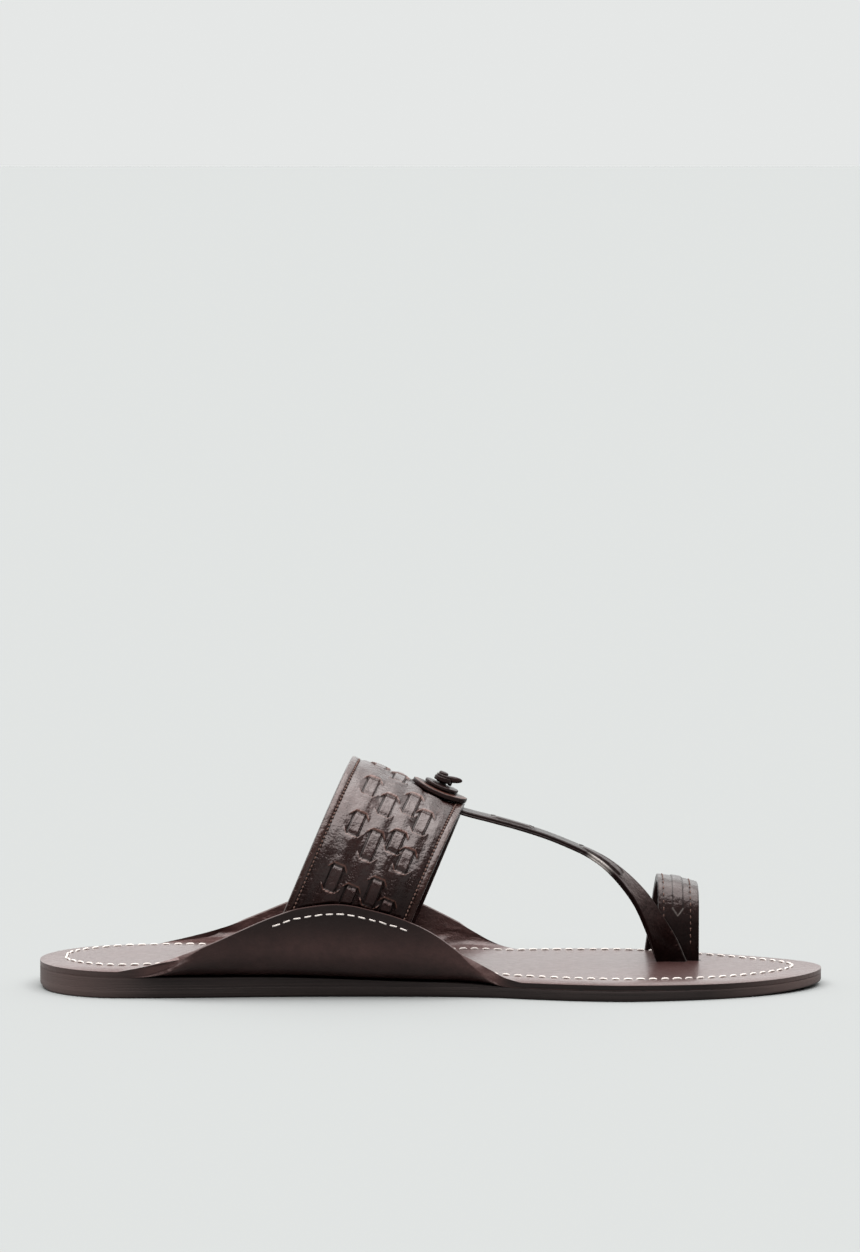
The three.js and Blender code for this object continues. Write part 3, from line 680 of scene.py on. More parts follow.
def footbed_surface(count):
    """The footbed as sections carried round the outline, from the middle of the top over the cut
    edge to the middle of the underside, with its marks.

    The seam mark is the distance of a point of the top inwards from the stitch line. The cut mark is
    1 on a wing's cut edge, and the low edge mark is 1 on the edge where no wing stands.
    """
    station, side, points, outward, standing, rim, fold, middle = footbed_lines(count)
    fold_z = footbed_top(fold[:, 0], fold[:, 1])
    upper, rim_edge, lower = footbed_section(station, side, fold_z)
    section = np.concatenate([upper, rim_edge, lower[:, ::-1]], axis=1)
    section[..., 0] += wing_creases(points[:, :1], side[:, None], section[..., 1])
    offset = (section[..., 0] - rim[:, None])[..., None]
    flap_xy = points[:, None] + outward[:, None] * offset
    flap = np.concatenate([flap_xy, section[..., 1:]], axis=-1)
    shares = np.linspace(0, 1, 19)[:-1] ** 0.8
    top_xy = lerp(middle[:, None], fold[:, None], shares[None, :, None])
    top_z = footbed_top(top_xy[..., 0], top_xy[..., 1])
    low_start = flap[:, -1, :2]
    low_xy = lerp(low_start[:, None], middle[:, None], (1 - shares[::-1])[None, :, None])
    low_station = low_xy[..., 0] + LENGTH / 2
    low_z = footbed_level(low_station) + toe_spring(low_station)
    top = np.concatenate([top_xy, top_z[..., None]], axis=-1)
    low = np.concatenate([low_xy, low_z[..., None]], axis=-1)
    surface = np.concatenate([top, flap, low], axis=1)
    inward = np.linalg.norm(fold[:, None] - top_xy, axis=-1) - (stitch_inset(station) - FOLD_INSET)[:, None]
    outside = np.full(flap.shape[:2], UNDER_SEAM)
    outside[:, : upper.shape[1]] = np.linspace(*FLAP_SEAM, upper.shape[1])
    under = np.full(low.shape[:2], UNDER_SEAM)
    seam = np.concatenate([inward, outside, under], axis=1)
    cut, low_edge = np.zeros(surface.shape[:2]), np.zeros(surface.shape[:2])
    first_edge = top.shape[1] + upper.shape[1]
    last_edge = first_edge + rim_edge.shape[1]
    cut[:, first_edge:last_edge] = standing
    low_edge[:, first_edge : last_edge + 2] = 1 - standing
    return surface, seam, cut, low_edge


def wing_creases(x, side, z):
    """Soft troughs and ridges across the wings, placed one by one.

    Each is a bell of the distance from a line from one end to the other, fading past both ends.
    """
    lift = np.zeros(np.broadcast_shapes(x.shape, z.shape))
    for of_side, x0, z0, x1, z1, width, push in zip(*CREASES.values()):
        run = math.hypot(x1 - x0, z1 - z0)
        ux, uz = (x1 - x0) / run, (z1 - z0) / run
        along = (x - x0) * ux + (z - z0) * uz
        across = (z - z0) * ux - (x - x0) * uz
        ends = smooth((along + width) / (2 * width)) * smooth((run + width - along) / (2 * width))
        lift += push * bell(across, width) * ends * (side == of_side)
    return lift


def stitch_inset(station):
    """Distance of the white stitches from the rim: most at the two ends."""
    heel = smooth((34 - station) / 30)
    toe = smooth((station - 205) / 40)
    return 7.0 + 1.8 * heel + 2.4 * toe


# Instep band


def band_side_line(side):
    """One side of the band's section: distance from the crest, y and depth by arc length.

    A quarter of a superellipse, then a straight wall that leans out a little.
    """
    reach, power = BAND_SIDES[side]
    t = np.linspace(0, np.pi / 2, 400)
    y = reach * np.sin(t) ** (2 / power)
    depth = BAND_CAP * (1 - np.cos(t) ** (2 / power))
    down = np.linspace(0, BAND_END - BAND_CAP, 60)[1:]
    y = np.concatenate([y, reach + BAND_LEAN * down])
    depth = np.concatenate([depth, BAND_CAP + down])
    arc = np.concatenate([[0], np.cumsum(np.hypot(np.diff(y), np.diff(depth)))])
    return arc, BAND_CREST_Y + side * y, depth


BAND_LINES = {side: band_side_line(side) for side in (-1, 1)}


def band_section(arc):
    """y and depth below the crest at arc lengths from the crest, the inner side positive."""
    outer, inner = BAND_LINES[-1], BAND_LINES[1]
    y = np.where(arc < 0, np.interp(-arc, outer[0], outer[1]), np.interp(arc, inner[0], inner[1]))
    depth = np.where(arc < 0, np.interp(-arc, outer[0], outer[2]), np.interp(arc, inner[0], inner[2]))
    return y, depth


def on_crest(along, y, above):
    """A point given along the crest from the band's back edge, by its y, and above the crest line."""
    sin, cos = math.sin(BAND_SLOPE), math.cos(BAND_SLOPE)
    return stack(BAND_REAR[0] + along * cos + above * sin, y, BAND_REAR[1] - along * sin + above * cos)


def band_point(across, arc, lift):
    """A point of the band: lift is measured square to its outer face."""
    y, depth = band_section(arc)
    y_ahead, depth_ahead = band_section(arc + 0.4)
    y_behind, depth_behind = band_section(arc - 0.4)
    length = np.maximum(np.hypot(y_ahead - y_behind, depth_ahead - depth_behind), 1e-9)
    ty, td = (y_ahead - y_behind) / length, (depth_ahead - depth_behind) / length
    return on_crest(band_along(across, y), y + td * lift, -(depth - ty * lift))


def band_along(across, y):
    """How far along the crest a point lies that is across from the band's back edge."""
    skew = np.where(y < BAND_CREST_Y, *BAND_SKEW)
    return across * (1 + BAND_WIDENING * y / BAND_WIDTH) + skew * (y - BAND_CREST_Y)


def band_end_arc(side, across):
    """Arc length at which the band's side reaches the sloping level inside the wing."""
    sin, cos = math.sin(BAND_SLOPE), math.cos(BAND_SLOPE)
    along = band_along(across, BAND_CREST_Y + side * BAND_SIDES[side][0])
    x_middle = BAND_REAR[0] + BAND_WIDTH / 2 * cos + (12 - BAND_REAR[1]) * sin
    depth = BAND_REAR[1] - along * sin - BAND_TUCK + BAND_TUCK_FALL * (BAND_REAR[0] + along * cos - x_middle)
    depth = depth / (cos + BAND_TUCK_FALL * sin)
    arc, _, depths = BAND_LINES[side]
    return np.interp(depth, depths, arc)


def lace_relief(u, v, half_length, height):
    """Relief round one visible stretch of thong, and masks for its face, for the painted shade in its slits
    and in the gaps beside it, and for its raw edges.

    u is measured across the thong and v along it, upwards. The slit at each end runs straight over
    the thong and turns back beside it at both ends. The thong is a low arch that dips under the
    lips; the lips rise towards the slit and fade away from it; the leather beside the thong sinks
    towards it, more deeply behind than in front.
    """
    half = LACE_WIDTH / 2
    side = np.abs(u)
    past = np.abs(v) - half_length + np.maximum(side - half, 0) * 1.25
    open_slit = 1 - smooth((side - SLIT_REACH + 0.3) / 0.6)
    lip = open_slit * (past > 0) * np.exp(-np.maximum(past, 0) / 1.5) * 0.55 * height
    within = past <= 0
    ends = smooth(-past / 1.8)
    crown = height * (0.05 + 0.6 * ends - 0.1 * (side / half) ** 2)
    body = within * (side < half)
    beside = within * (side >= half) * np.clip(1 - (side - half) / 2.2, 0, 1)
    relief = lip + body * crown - 0.42 * height * beside - 0.6 * height * bell(side - half, 0.18) * within
    # Painted shade in the slit's opening, and a painted shadow beside the thong, wider and darker on one
    # side
    slit = open_slit * bell(past + 0.12, 0.26)
    gap = bell(side - half - 0.15, np.where(u < 0, 0.34, 0.2)) * within * np.where(u < 0, 0.95, 0.6)
    raw = open_slit * np.where(v > 0, bell(past - 0.3, 0.26), 0.8 * bell(past - 0.2, 0.18))
    return relief, body * ends, np.clip(slit + gap, 0, 1), raw


def band_relief(across, arc, height, pitch):
    """Lift of the band's outer face and the masks of its lacing.

    Sums the relief of every lace, a rounded cushion over the thong where it runs hidden between two
    laces, the soft bulge of the doubled leather, the turned edges, a groove under each row of prick
    stitches and the holes between the stitches.
    """
    lift = np.zeros(across.shape)
    masks = np.zeros((len(LACE_MARKS),) + across.shape)
    cushion = np.zeros(across.shape)
    for lane in range(LACE_COLUMNS):
        down, middle = (LACES[name][lane::LACE_COLUMNS] for name in ("down", "across"))
        at = np.interp(-arc[:, 0], down, middle)[:, None]
        cushion += bell(across - at, 2.5)
    for at, down, length in zip(*LACES.values()):
        u, v = across - at, arc + down
        near = (np.abs(u) < 5.5) & (np.abs(v) < length / 2 + 7)
        relief, *found = lace_relief(u[near], v[near], length / 2, height)
        lift[near] += relief
        masks[:, near] = np.maximum(masks[:, near], found)
        cushion[near] *= 1 - (1 - smooth((np.abs(v[near]) - length / 2 + 0.9) / 2.4)) * bell(u[near], 3.2)
    lift += 0.75 * height * cushion
    point = band_point(across, arc, 0)
    station = point[..., 0] + LENGTH / 2
    wing = np.where(arc < 0, lateral_wing(station), medial_wing(station))
    clear = smooth((point[..., 2] - wing + 0.2) / 1.4)
    dx, dz = point[..., 0] - BAND_REAR[0], point[..., 2] - BAND_REAR[1]
    along = dx * math.cos(BAND_SLOPE) - dz * math.sin(BAND_SLOPE)
    from_knot = 2 * np.hypot((along - KNOT_ALONG) / PATCH_LENGTH, (point[..., 1] - KNOT_Y) / PATCH_WIDTH)
    clear *= smooth((from_knot - 0.98) / 0.15)
    edge = np.minimum(across, BAND_WIDTH - across)
    flat = smooth((edge - 2.8) / 2.0)
    roll = BAND_ROLL * 1.3 * np.sqrt(np.clip(1 - ((edge - 1.25) / 1.25) ** 2, 0, 1))
    groove = -0.2 * bell(edge - PRICK_INSET, 0.45)
    bulge = 0.45 * smooth((edge - 2.6) / 2.4) * clear
    holes = bell(np.mod(arc, pitch) - pitch / 2, 0.34) * bell(edge - PRICK_INSET, 0.42)
    masks = masks * clear * flat
    # Painted shade in the prick holes
    masks[1] = np.maximum(masks[1], holes)
    masks[2] = np.maximum(masks[2], 0.14 * (1 - smooth((edge - 1.7) / 0.5)))
    return lift * clear * flat + bulge + roll + groove - 0.25 * holes, masks


def lining_relief(across, arc):
    """Lift of the band's inner face: the thong shows there between the slits of two rows."""
    lift = np.zeros(across.shape)
    ends = list(zip(LACES["across"], LACES["down"], LACES["length"] / 2))
    for (at, down, half), (_, next_down, next_half) in zip(ends, ends[LACE_COLUMNS:]):
        body = smooth((LACE_WIDTH / 2 - np.abs(across - at)) / 0.6 + 0.2)
        top, low = -down - half, -next_down + next_half
        arch = np.clip(1 - ((2 * arc - top - low) / (top - low + 0.8)) ** 2, 0, 1)
        lift += 0.75 * body * arch**0.5
    return lift


def band_surface(height, pitch, rows, outer_columns, inner_columns):
    """The band as one closed section carried over the foot, from wing to wing, with its masks.

    The section runs over the outer face, round the front edge with the gap between its two layers,
    back along the inner face and round the rear edge.
    """
    outer = np.linspace(0.35, BAND_WIDTH - 0.35, outer_columns)
    front = np.array([-0.12, 0, 0, -0.75, 0, 0, -0.3]) + BAND_WIDTH
    front_lift = np.array([-0.12, -0.4, -0.95, -1.15, -1.35, -2.0, -2.32])
    inner = np.linspace(BAND_WIDTH - 0.7, 0.7, inner_columns)
    rear = np.array([0.3, 0.05, -0.1, -0.12, -0.08, 0.08])
    rear_lift = np.array([-2.32, -2.05, -1.6, -1.1, -0.6, -0.1])
    across = np.concatenate([outer, front, inner, rear])
    share = np.linspace(0, 1, rows)[:, None]
    arc = lerp(-band_end_arc(-1, across), band_end_arc(1, across), share)
    across = np.broadcast_to(across, arc.shape).copy()
    lift = np.zeros(arc.shape)
    masks = np.zeros((len(LACE_MARKS),) + arc.shape)
    face = slice(outer_columns)
    lining = slice(outer_columns + len(front), outer_columns + len(front) + inner_columns)
    lift[:, face], masks[:, :, face] = band_relief(across[:, face], arc[:, face], height, pitch)
    lift[:, face.stop : lining.start] = front_lift + BAND_ROLL * 0.4 * (front_lift > -0.5)
    lift[:, lining] = -BAND_THICKNESS - lining_relief(across[:, lining], arc[:, lining])
    lift[:, lining.stop :] = rear_lift
    return band_point(across, arc, lift), masks


# Paths


def through(points, steps=24):
    """A centripetal cubic through the points: each stretch's time is the square root of its length."""
    points = np.asarray(points, float)
    ends = np.concatenate([2 * points[:1] - points[1:2], points, 2 * points[-1:] - points[-2:-1]])
    time = np.maximum(np.linalg.norm(np.diff(ends, axis=0), axis=1), 1e-6)[:, None] ** 0.5
    a, b, c, d = ends[:-3], ends[1:-2], ends[2:-1], ends[3:]
    ta, tb, tc = time[:-2], time[1:-1], time[2:]
    leave = ((b - a) / ta - (c - a) / (ta + tb) + (c - b) / tb) * tb
    arrive = ((c - b) / tb - (d - b) / (tb + tc) + (d - c) / tc) * tb
    u = (np.arange(steps) / steps)[None, :, None]
    b, c, leave, arrive = (p[:, None] for p in (b, c, leave, arrive))
    line = (
        (2 * u**3 - 3 * u**2 + 1) * b
        + (u**3 - 2 * u**2 + u) * leave
        + (3 * u**2 - 2 * u**3) * c
        + (u**3 - u**2) * arrive
    )
    return np.concatenate([line.reshape(-1, points.shape[1]), points[-1:]])


def run_along(line):
    """How far along a line each of its points lies: the sum of the distances up to it."""
    return np.concatenate([[0], np.cumsum(np.linalg.norm(np.diff(line, axis=0), axis=1))])


def along_line(line, count=None, spacing=None):
    """Points at equal steps along a dense line, and the direction from just behind to just ahead."""
    run = run_along(line)
    count = count or max(2, int(round(run[-1] / spacing)) + 1)
    at = np.linspace(0, run[-1], count)

    def place(where):
        return np.stack([np.interp(where, run, values) for values in line.T], axis=1)

    behind, ahead = (place(np.clip(at + step, 0, run[-1])) for step in (-0.3, 0.3))
    return place(at), unit(ahead - behind)


# Toe strap


def turned_about(vector, axis, angle):
    """A vector turned about an axis square to it: cosine of itself plus sine of axis x vector."""
    return vector * np.cos(angle)[:, None] + np.cross(axis, vector) * np.sin(angle)[:, None]


def strap_frames(count):
    """Middle points of the strap, its direction, its width's direction and its face's direction."""
    line = through(stack(STRAP_LINE["x"], STRAP_LINE["y"], STRAP_LINE["z"]))
    middle, along = along_line(line, count=count)
    kept = middle[:, 2] > FEET_LEVEL - 0.5
    middle, along = middle[kept], along[kept]
    flat = np.array([0.0, 1.0, 0.0]) - along * along[:, 1:2]
    side = turned_about(unit(flat), along, np.radians(strap_turn(middle[:, 0])))
    return middle, along, side, np.cross(along, side)


def edge_profile(width, thickness, columns):
    """Across and lift round a two layer strip: top face, edge with its gap, under face, edge."""
    half, deep = width / 2, thickness / 2
    face = np.linspace(-half + 0.45, half - 0.45, columns)
    turn_x = np.array([half - 0.15, half, half, half - 0.35, half, half, half - 0.15])
    turn_z = np.array([deep - 0.08, deep - 0.32, 0.14, 0, -0.14, 0.32 - deep, 0.08 - deep])
    across = np.concatenate([face, turn_x, face[::-1], -turn_x])
    lift = np.concatenate([np.full(columns, deep), turn_z, np.full(columns, -deep), -turn_z])
    return across, lift


def strap_surface(count, columns, height):
    """The strap: its two layer section carried along the middle line, with the laced thong raised."""
    middle, _, side, normal = strap_frames(count)
    across, lift = edge_profile(STRAP_WIDTH, STRAP_THICKNESS, columns)
    across = np.broadcast_to(across, (len(middle), len(across)))
    lift = np.broadcast_to(lift, across.shape).copy()
    x = np.broadcast_to(middle[:, :1], (len(middle), columns))
    masks = np.zeros((len(LACE_MARKS),) + across.shape)
    run = run_along(middle)
    for start, end in STRAP_LACES:
        a, b = np.interp([start, end], middle[:, 0], run)
        v = np.broadcast_to(((a + b) / 2 - run)[:, None], x.shape)
        relief, *found = lace_relief(across[:, :columns], v, (b - a) / 2, STRAP_LACE_HEIGHT * height)
        near = np.abs(v) < (b - a) / 2 + 7
        lift[:, :columns] += relief * near
        masks[:, :, :columns] = np.maximum(masks[:, :, :columns], np.array(found) * near)
    half, x = STRAP_WIDTH / 2, middle[:, :1]
    front_line = bell(across - half, 0.3) * smooth((x - 60) / 4) * 0.25
    # Painted highlight along the strap's edge where it twists, carried by the raw mark
    painted_twist_highlight = bell(across + half, 0.6) * smooth((x - 50) / 3) * (1 - smooth((x - 56) / 4))
    masks[2] = np.maximum(masks[2] * 0.12, front_line + painted_twist_highlight)
    points = middle[:, None] + side[:, None] * across[..., None] + normal[:, None] * lift[..., None]
    return points, masks


# Toe ring


def ring_line():
    """The ring's middle line in its own plane: straight legs and a superellipse over them."""
    half = (RING_MEDIAL - RING_LATERAL) / 2
    t = np.linspace(0, np.pi, 61)
    y = -np.sign(np.cos(t)) * np.abs(np.cos(t)) ** (2 / RING_POWER) * half
    z = RING_SHOULDER + (RING_TOP - RING_SHOULDER) * np.sin(t) ** (2 / RING_POWER)
    leg = np.linspace(FEET_LEVEL, RING_SHOULDER, 12)[:-1]
    line_y = np.concatenate([np.full(11, -half), y, np.full(11, half)])
    line_z = np.concatenate([leg, z, leg[::-1]])
    return stack(line_y, line_z)


def ring_point(middle, heading, across, lift):
    """A point of the ring: its top falls forward, is a little rounded, and its inner foot stands back."""
    half = (RING_MEDIAL - RING_LATERAL) / 2
    y = middle[..., 0] - heading[..., 1] * lift
    rise = middle[..., 1] + heading[..., 0] * lift
    high = np.clip((rise - RING_SHOULDER) / (RING_TOP - RING_SHOULDER), 0, 1)
    inner = np.clip(y / half, 0, 1) * np.clip((RING_TOP - middle[..., 1]) / (RING_TOP - 5), 0, 1)
    fall = RING_FALL * across + RING_DOME * across**2
    x = RING_X + across - RING_SET_BACK * inner
    return stack(x, (RING_LATERAL + RING_MEDIAL) / 2 + y, rise - fall * high)


def ring_surface(count, columns):
    """The ring: its two layer section carried over the toe, with a tongue raised on its middle."""
    middle, heading = along_line(ring_line(), count=count)
    across, lift = edge_profile(RING_WIDTH, RING_THICKNESS, columns)
    shape = (len(middle), len(across))
    across, lift = np.broadcast_to(across, shape), np.broadcast_to(lift, shape).copy()
    u = np.abs(across[:, :columns] + 0.3)
    height = middle[:, 1:2]
    point = np.clip((height - TONGUE_TIP) / TONGUE_TAPER, 0, 1) * RING_TONGUE / 2
    inside = smooth((point - u) / 0.35 + 0.5) * (height > TONGUE_TIP - 0.3)
    edge = bell(u - point, 0.2) * (height > TONGUE_TIP)
    rows = [bell(across[:, :columns] - row, 0.35) for row in RING_STITCH_ROWS]
    lift[:, :columns] += 0.35 * inside - 0.15 * sum(rows)
    masks = np.zeros((len(LACE_MARKS),) + shape)
    masks[0, :, :columns] = 0.5 * inside
    # Painted shade round the tongue's point and in the grooves of the stitch rows
    masks[1, :, :columns] = edge * smooth((height - TONGUE_TIP - 2.4) / 0.6) + 0.4 * sum(rows)
    masks[2, :, :columns] = edge * (1 - smooth((height - TONGUE_TIP - 2.2) / 0.5)) * (middle[:, :1] < 0)
    return ring_point(middle[:, None], heading[:, None], across, lift), masks


# Knot


def washer(radius_x, radius_y, low, high, rounding, droop=0.0, along=KNOT_ALONG):
    """A round or oval piece of leather lying on the crest.

    Rings of a quarter round edge between a flat bottom and a flat top; droop bends it down with the
    square of the distance from its middle line, as it lies on the band.
    """
    angle = np.linspace(0, 2 * np.pi, 96, endpoint=False)[None, :]
    turn = np.linspace(0, np.pi / 2, ROUND_STEPS)
    inset = np.concatenate([rounding * (1 - np.sin(turn)), rounding * (1 - np.cos(turn))])
    level = np.concatenate([low + rounding * (1 - np.cos(turn)), high - rounding * (1 - np.sin(turn))])
    shares = np.linspace(0, 1, FACE_STEPS + 1)[:-1]
    edge_share = np.ones(len(inset))
    share = np.concatenate([shares, edge_share, shares[::-1]])[:, None]
    flat = np.ones(FACE_STEPS)
    inset = np.concatenate([flat * rounding, inset, flat * rounding])[:, None]
    level = np.concatenate([flat * low, level, flat * high])[:, None]
    across = (radius_y - inset) * share * np.sin(angle)
    forward = (radius_x - inset) * share * np.cos(angle)
    return on_crest(along + forward, KNOT_Y + across, level - droop * across**2)


def rolled_thong(turns, outer, inner, low, high, thickness):
    """The thong wound up: a strip section carried along a coil that narrows and climbs evenly."""
    angle = np.linspace(0, turns * 2 * np.pi, int(turns * 40))
    share = angle / angle[-1]
    radius = lerp(outer, inner, share) - thickness / 2
    direction = stack(np.cos(angle), np.sin(angle))
    path = direction * radius[:, None]
    climb = (high - low) * (1 - 1 / turns)
    heading = unit(np.gradient(path, axis=0))
    side = stack(heading[:, 1], -heading[:, 0])
    turn = np.linspace(0, 2 * np.pi, 24, endpoint=False)
    across = thickness / 2 * np.sign(np.cos(turn)) * np.abs(np.cos(turn)) ** 0.45
    rise = (high - low) / turns / 2 * np.sign(np.sin(turn)) * np.abs(np.sin(turn)) ** 0.4
    plane = path[:, None] + side[:, None] * across[None, :, None]
    level = low + (high - low) / turns / 2 + rise[None, :] + climb * share[:, None]
    return on_crest(KNOT_ALONG - 0.3 + plane[..., 0], KNOT_Y + plane[..., 1], level)


def thong_tail():
    """The thong's free end: a leaf shaped strip that leaves the roll forwards and ends in a point."""
    share = np.linspace(0, 1, 30)
    level = ROLL_LEVELS[1] - 1.3 + 1.5 * share
    path = on_crest(KNOT_ALONG + 0.4 + 5.2 * share, KNOT_Y - 0.6 - 0.5 * share, level)
    half_height = 1.1 * np.sqrt(np.clip(1 - share**3.2, 0, 1)) + 0.03
    half_depth = 0.5 * np.sqrt(np.clip(1 - share**4, 0, 1)) + 0.02
    turn = np.linspace(0, 2 * np.pi, 16, endpoint=False)
    y = half_depth[:, None] * np.cos(turn)
    z = half_height[:, None] * np.sign(np.sin(turn)) * np.abs(np.sin(turn)) ** 0.7
    return path[:, None] + stack(np.zeros(y.shape), y, z)


# Stitches


def stitches(middle, heading, normal, length, radius, seed, flat=0.8, sink=0.45):
    """Short stitches as small tubes: each rises from the leather, bows over it and dips back in.

    The middle of a stitch lies radius above the leather; its height falls with the square of the way
    to its ends, which lie under the surface, and its thickness tapers as a half ellipse.
    """
    rng = np.random.default_rng(seed)
    count = len(middle)
    lean = rng.normal(0, 0.06, count)
    long = length / 2 * rng.normal(1, 0.05, count)
    side = unit(np.cross(normal, heading))
    heading = unit(heading + side * lean[:, None])
    u = np.linspace(-1, 1, STITCH_RINGS)
    thick = radius * (0.35 + 0.65 * np.sqrt(np.clip(1 - u**4, 0, 1)))
    lift = radius * (1 - sink) - radius * 1.7 * u**4
    turn = np.linspace(0, 2 * np.pi, STITCH_SIDES, endpoint=False)
    tube = (
        middle[:, None, None]
        + heading[:, None, None] * (long[:, None] * u)[:, :, None, None]
        + normal[:, None, None] * (lift[:, None] + flat * thick[:, None] * np.sin(turn))[None, :, :, None]
        + side[:, None, None] * (thick[:, None] * np.cos(turn))[None, :, :, None]
    )
    around = np.arange(STITCH_SIDES)
    start = np.arange(count)[:, None] * STITCH_RINGS
    rings = (start + np.arange(STITCH_RINGS - 1))[..., None] * STITCH_SIDES
    a = (rings + around).reshape(-1)
    b = (rings + (around + 1) % STITCH_SIDES).reshape(-1)
    sides = np.stack([a, b, b + STITCH_SIDES, a + STITCH_SIDES], axis=1)
    first = start * STITCH_SIDES + around[::-1]
    last = (start + STITCH_RINGS - 1) * STITCH_SIDES + around
    return tube.reshape(-1, 3), [*sides.tolist(), *first.tolist(), *last.tolist()]


# Meshes


def grid_faces(rows, columns, wrap_rows=False, wrap_columns=False, caps=False):
    """Quads between neighbouring grid points, and one face over each end where asked."""
    r = np.arange(rows if wrap_rows else rows - 1)[:, None]
    c = np.arange(columns if wrap_columns else columns - 1)[None, :]
    a, b = r * columns + c, r * columns + (c + 1) % columns
    below = ((r + 1) % rows) * columns
    faces = np.stack([a, b, below + (c + 1) % columns, below + c], axis=-1).reshape(-1, 4).tolist()
    if caps:
        faces.append(list(range(columns))[::-1])
        faces.append(list(range((rows - 1) * columns, rows * columns)))
    return faces


def place_piece(name, points, faces, finish, nodes=(), marks=None, crisp=None):
    """Puts points and faces into a mesh in metres, closes its seams and turns its faces outwards."""
    mesh = bpy.data.meshes.new(name)
    mesh.from_pydata((points.reshape(-1, 3) * MM).tolist(), [], faces)
    for mark, values in (marks or {}).items():
        layer = mesh.attributes.new(mark, "FLOAT", "POINT")
        layer.data.foreach_set("value", np.ascontiguousarray(values, np.float32).reshape(-1))
    work = bmesh.new()
    work.from_mesh(mesh)
    bmesh.ops.remove_doubles(work, verts=work.verts, dist=2e-6)
    bmesh.ops.recalc_face_normals(work, faces=work.faces)
    work.to_mesh(mesh)
    work.free()
    mesh.shade_smooth()
    if crisp:
        mesh.set_sharp_from_angle(angle=math.radians(crisp))
    piece = bpy.data.objects.new(name, mesh)
    bpy.context.scene.collection.objects.link(piece)
    mesh.materials.append(finish)
    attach(piece, "root")
    if nodes:
        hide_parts(*nodes)
    return piece


# Finishes

# Near black painted shade for slits, slots, gaps beside the thong, holes and grooves
PAINTED_SHADE = (0.002, 0.0012, 0.001)


class Wire:
    """A shader value that takes part in Python maths: each operation adds one Math node."""

    def __init__(self, nodes, socket):
        self.nodes, self.socket = nodes, socket

    def math(self, operation, *others):
        return self.nodes.add("ShaderNodeMath", {"operation": operation}, dict(enumerate((self, *others))))

    def __add__(self, other):
        return self.math("ADD", other)

    def __sub__(self, other):
        return self.math("SUBTRACT", other)

    def __mul__(self, other):
        return self.math("MULTIPLY", other)

    def __truediv__(self, other):
        return self.math("DIVIDE", other)

    def __rsub__(self, other):
        return self * -1 + other

    __radd__ = __add__
    __rmul__ = __mul__

    def bell(self, width):
        """e to the power of minus (value / width) squared."""
        scaled = self / width
        return (scaled * scaled * -1).math("EXPONENT")

    def ramp(self, low, high):
        """0 below low, 1 above high, and smooth between."""
        sockets = {0: self, 1: low, 2: high, 3: 0.0, 4: 1.0}
        return self.nodes.add("ShaderNodeMapRange", {"interpolation_type": "SMOOTHSTEP"}, sockets)


class Nodes:
    """A node tree that add() puts any node into."""

    def __init__(self, tree):
        self.tree = tree

    def add(self, kind, settings=None, sockets=None, output=0):
        node = self.tree.nodes.new(kind)
        for name, value in (settings or {}).items():
            setattr(node, name, value)
        for key, value in (sockets or {}).items():
            if isinstance(value, Wire):
                self.tree.links.new(value.socket, node.inputs[key])
            else:
                node.inputs[key].default_value = value
        return Wire(self, node.outputs[output])

    def mark(self, name):
        """One of the piece's own attributes."""
        return self.add("ShaderNodeAttribute", {"attribute_name": name}, {}, "Fac")

    def mix(self, share, a, b):
        """Colour a at share 0 and b at share 1."""
        a, b = ((*c, 1.0) if isinstance(c, tuple) and len(c) == 3 else c for c in (a, b))
        return self.add("ShaderNodeMix", {"data_type": "RGBA"}, {0: share, 6: a, 7: b}, 2)

    def noise(self, place, scale, detail=3.0, rough=0.55, distortion=0.0):
        """Soft noise from 0 to 1; scale is in grains per metre."""
        sockets = {"Vector": place, "Scale": scale, "Detail": detail, "Roughness": rough}
        sockets["Distortion"] = distortion
        return self.add("ShaderNodeTexNoise", {}, sockets, "Fac")

    def stretched(self, place, scale, turn=(0.0, 0.0, 0.0)):
        """Coordinates stretched by scale and turned."""
        return self.add("ShaderNodeMapping", {}, {"Vector": place, "Rotation": turn, "Scale": scale})


def shade(colour, factor):
    """A colour made darker or lighter."""
    return tuple(min(1.0, c * factor) for c in colour)


def new_finish(name):
    """A material with its node tree, the Principled shader in it and the Object coordinates."""
    material = bpy.data.materials.new(name)
    material.use_nodes = True
    nodes = Nodes(material.node_tree)
    place = nodes.add("ShaderNodeTexCoord", {}, {}, "Object")
    return material, nodes, material.node_tree.nodes["Principled BSDF"], place


def finish_with(nodes, shader, colour, roughness, bump, depth=1.0):
    """Links what varies to the shader: colour, roughness, and a bump height in millimetres."""
    links = nodes.tree.links
    links.new(colour.socket, shader.inputs["Base Color"])
    links.new(roughness.socket, shader.inputs["Roughness"])
    shader.inputs["Specular IOR Level"].default_value = 0.3
    shader.inputs["Specular Tint"].default_value = (1.0, 0.86, 0.84, 1.0)
    normal = nodes.add("ShaderNodeBump", {}, {"Strength": depth, "Distance": MM, "Height": bump}, "Normal")
    links.new(normal.socket, shader.inputs["Normal"])


def axis(nodes, place, name):
    """One coordinate of a place, in metres."""
    return nodes.add("ShaderNodeSeparateXYZ", {}, {0: place}, name)


def leather_grain(nodes, place, size, depth):
    """Height of fine grain: rounded cells of the given size, with softer waves over them."""
    sockets = {"Vector": place, "Scale": 1 / (size * MM)}
    cells = nodes.add("ShaderNodeTexVoronoi", {"feature": "SMOOTH_F1"}, sockets, "Distance")
    waves = nodes.noise(place, 0.3 / (size * MM), 2.0)
    return cells * depth + waves * (depth * 1.6)


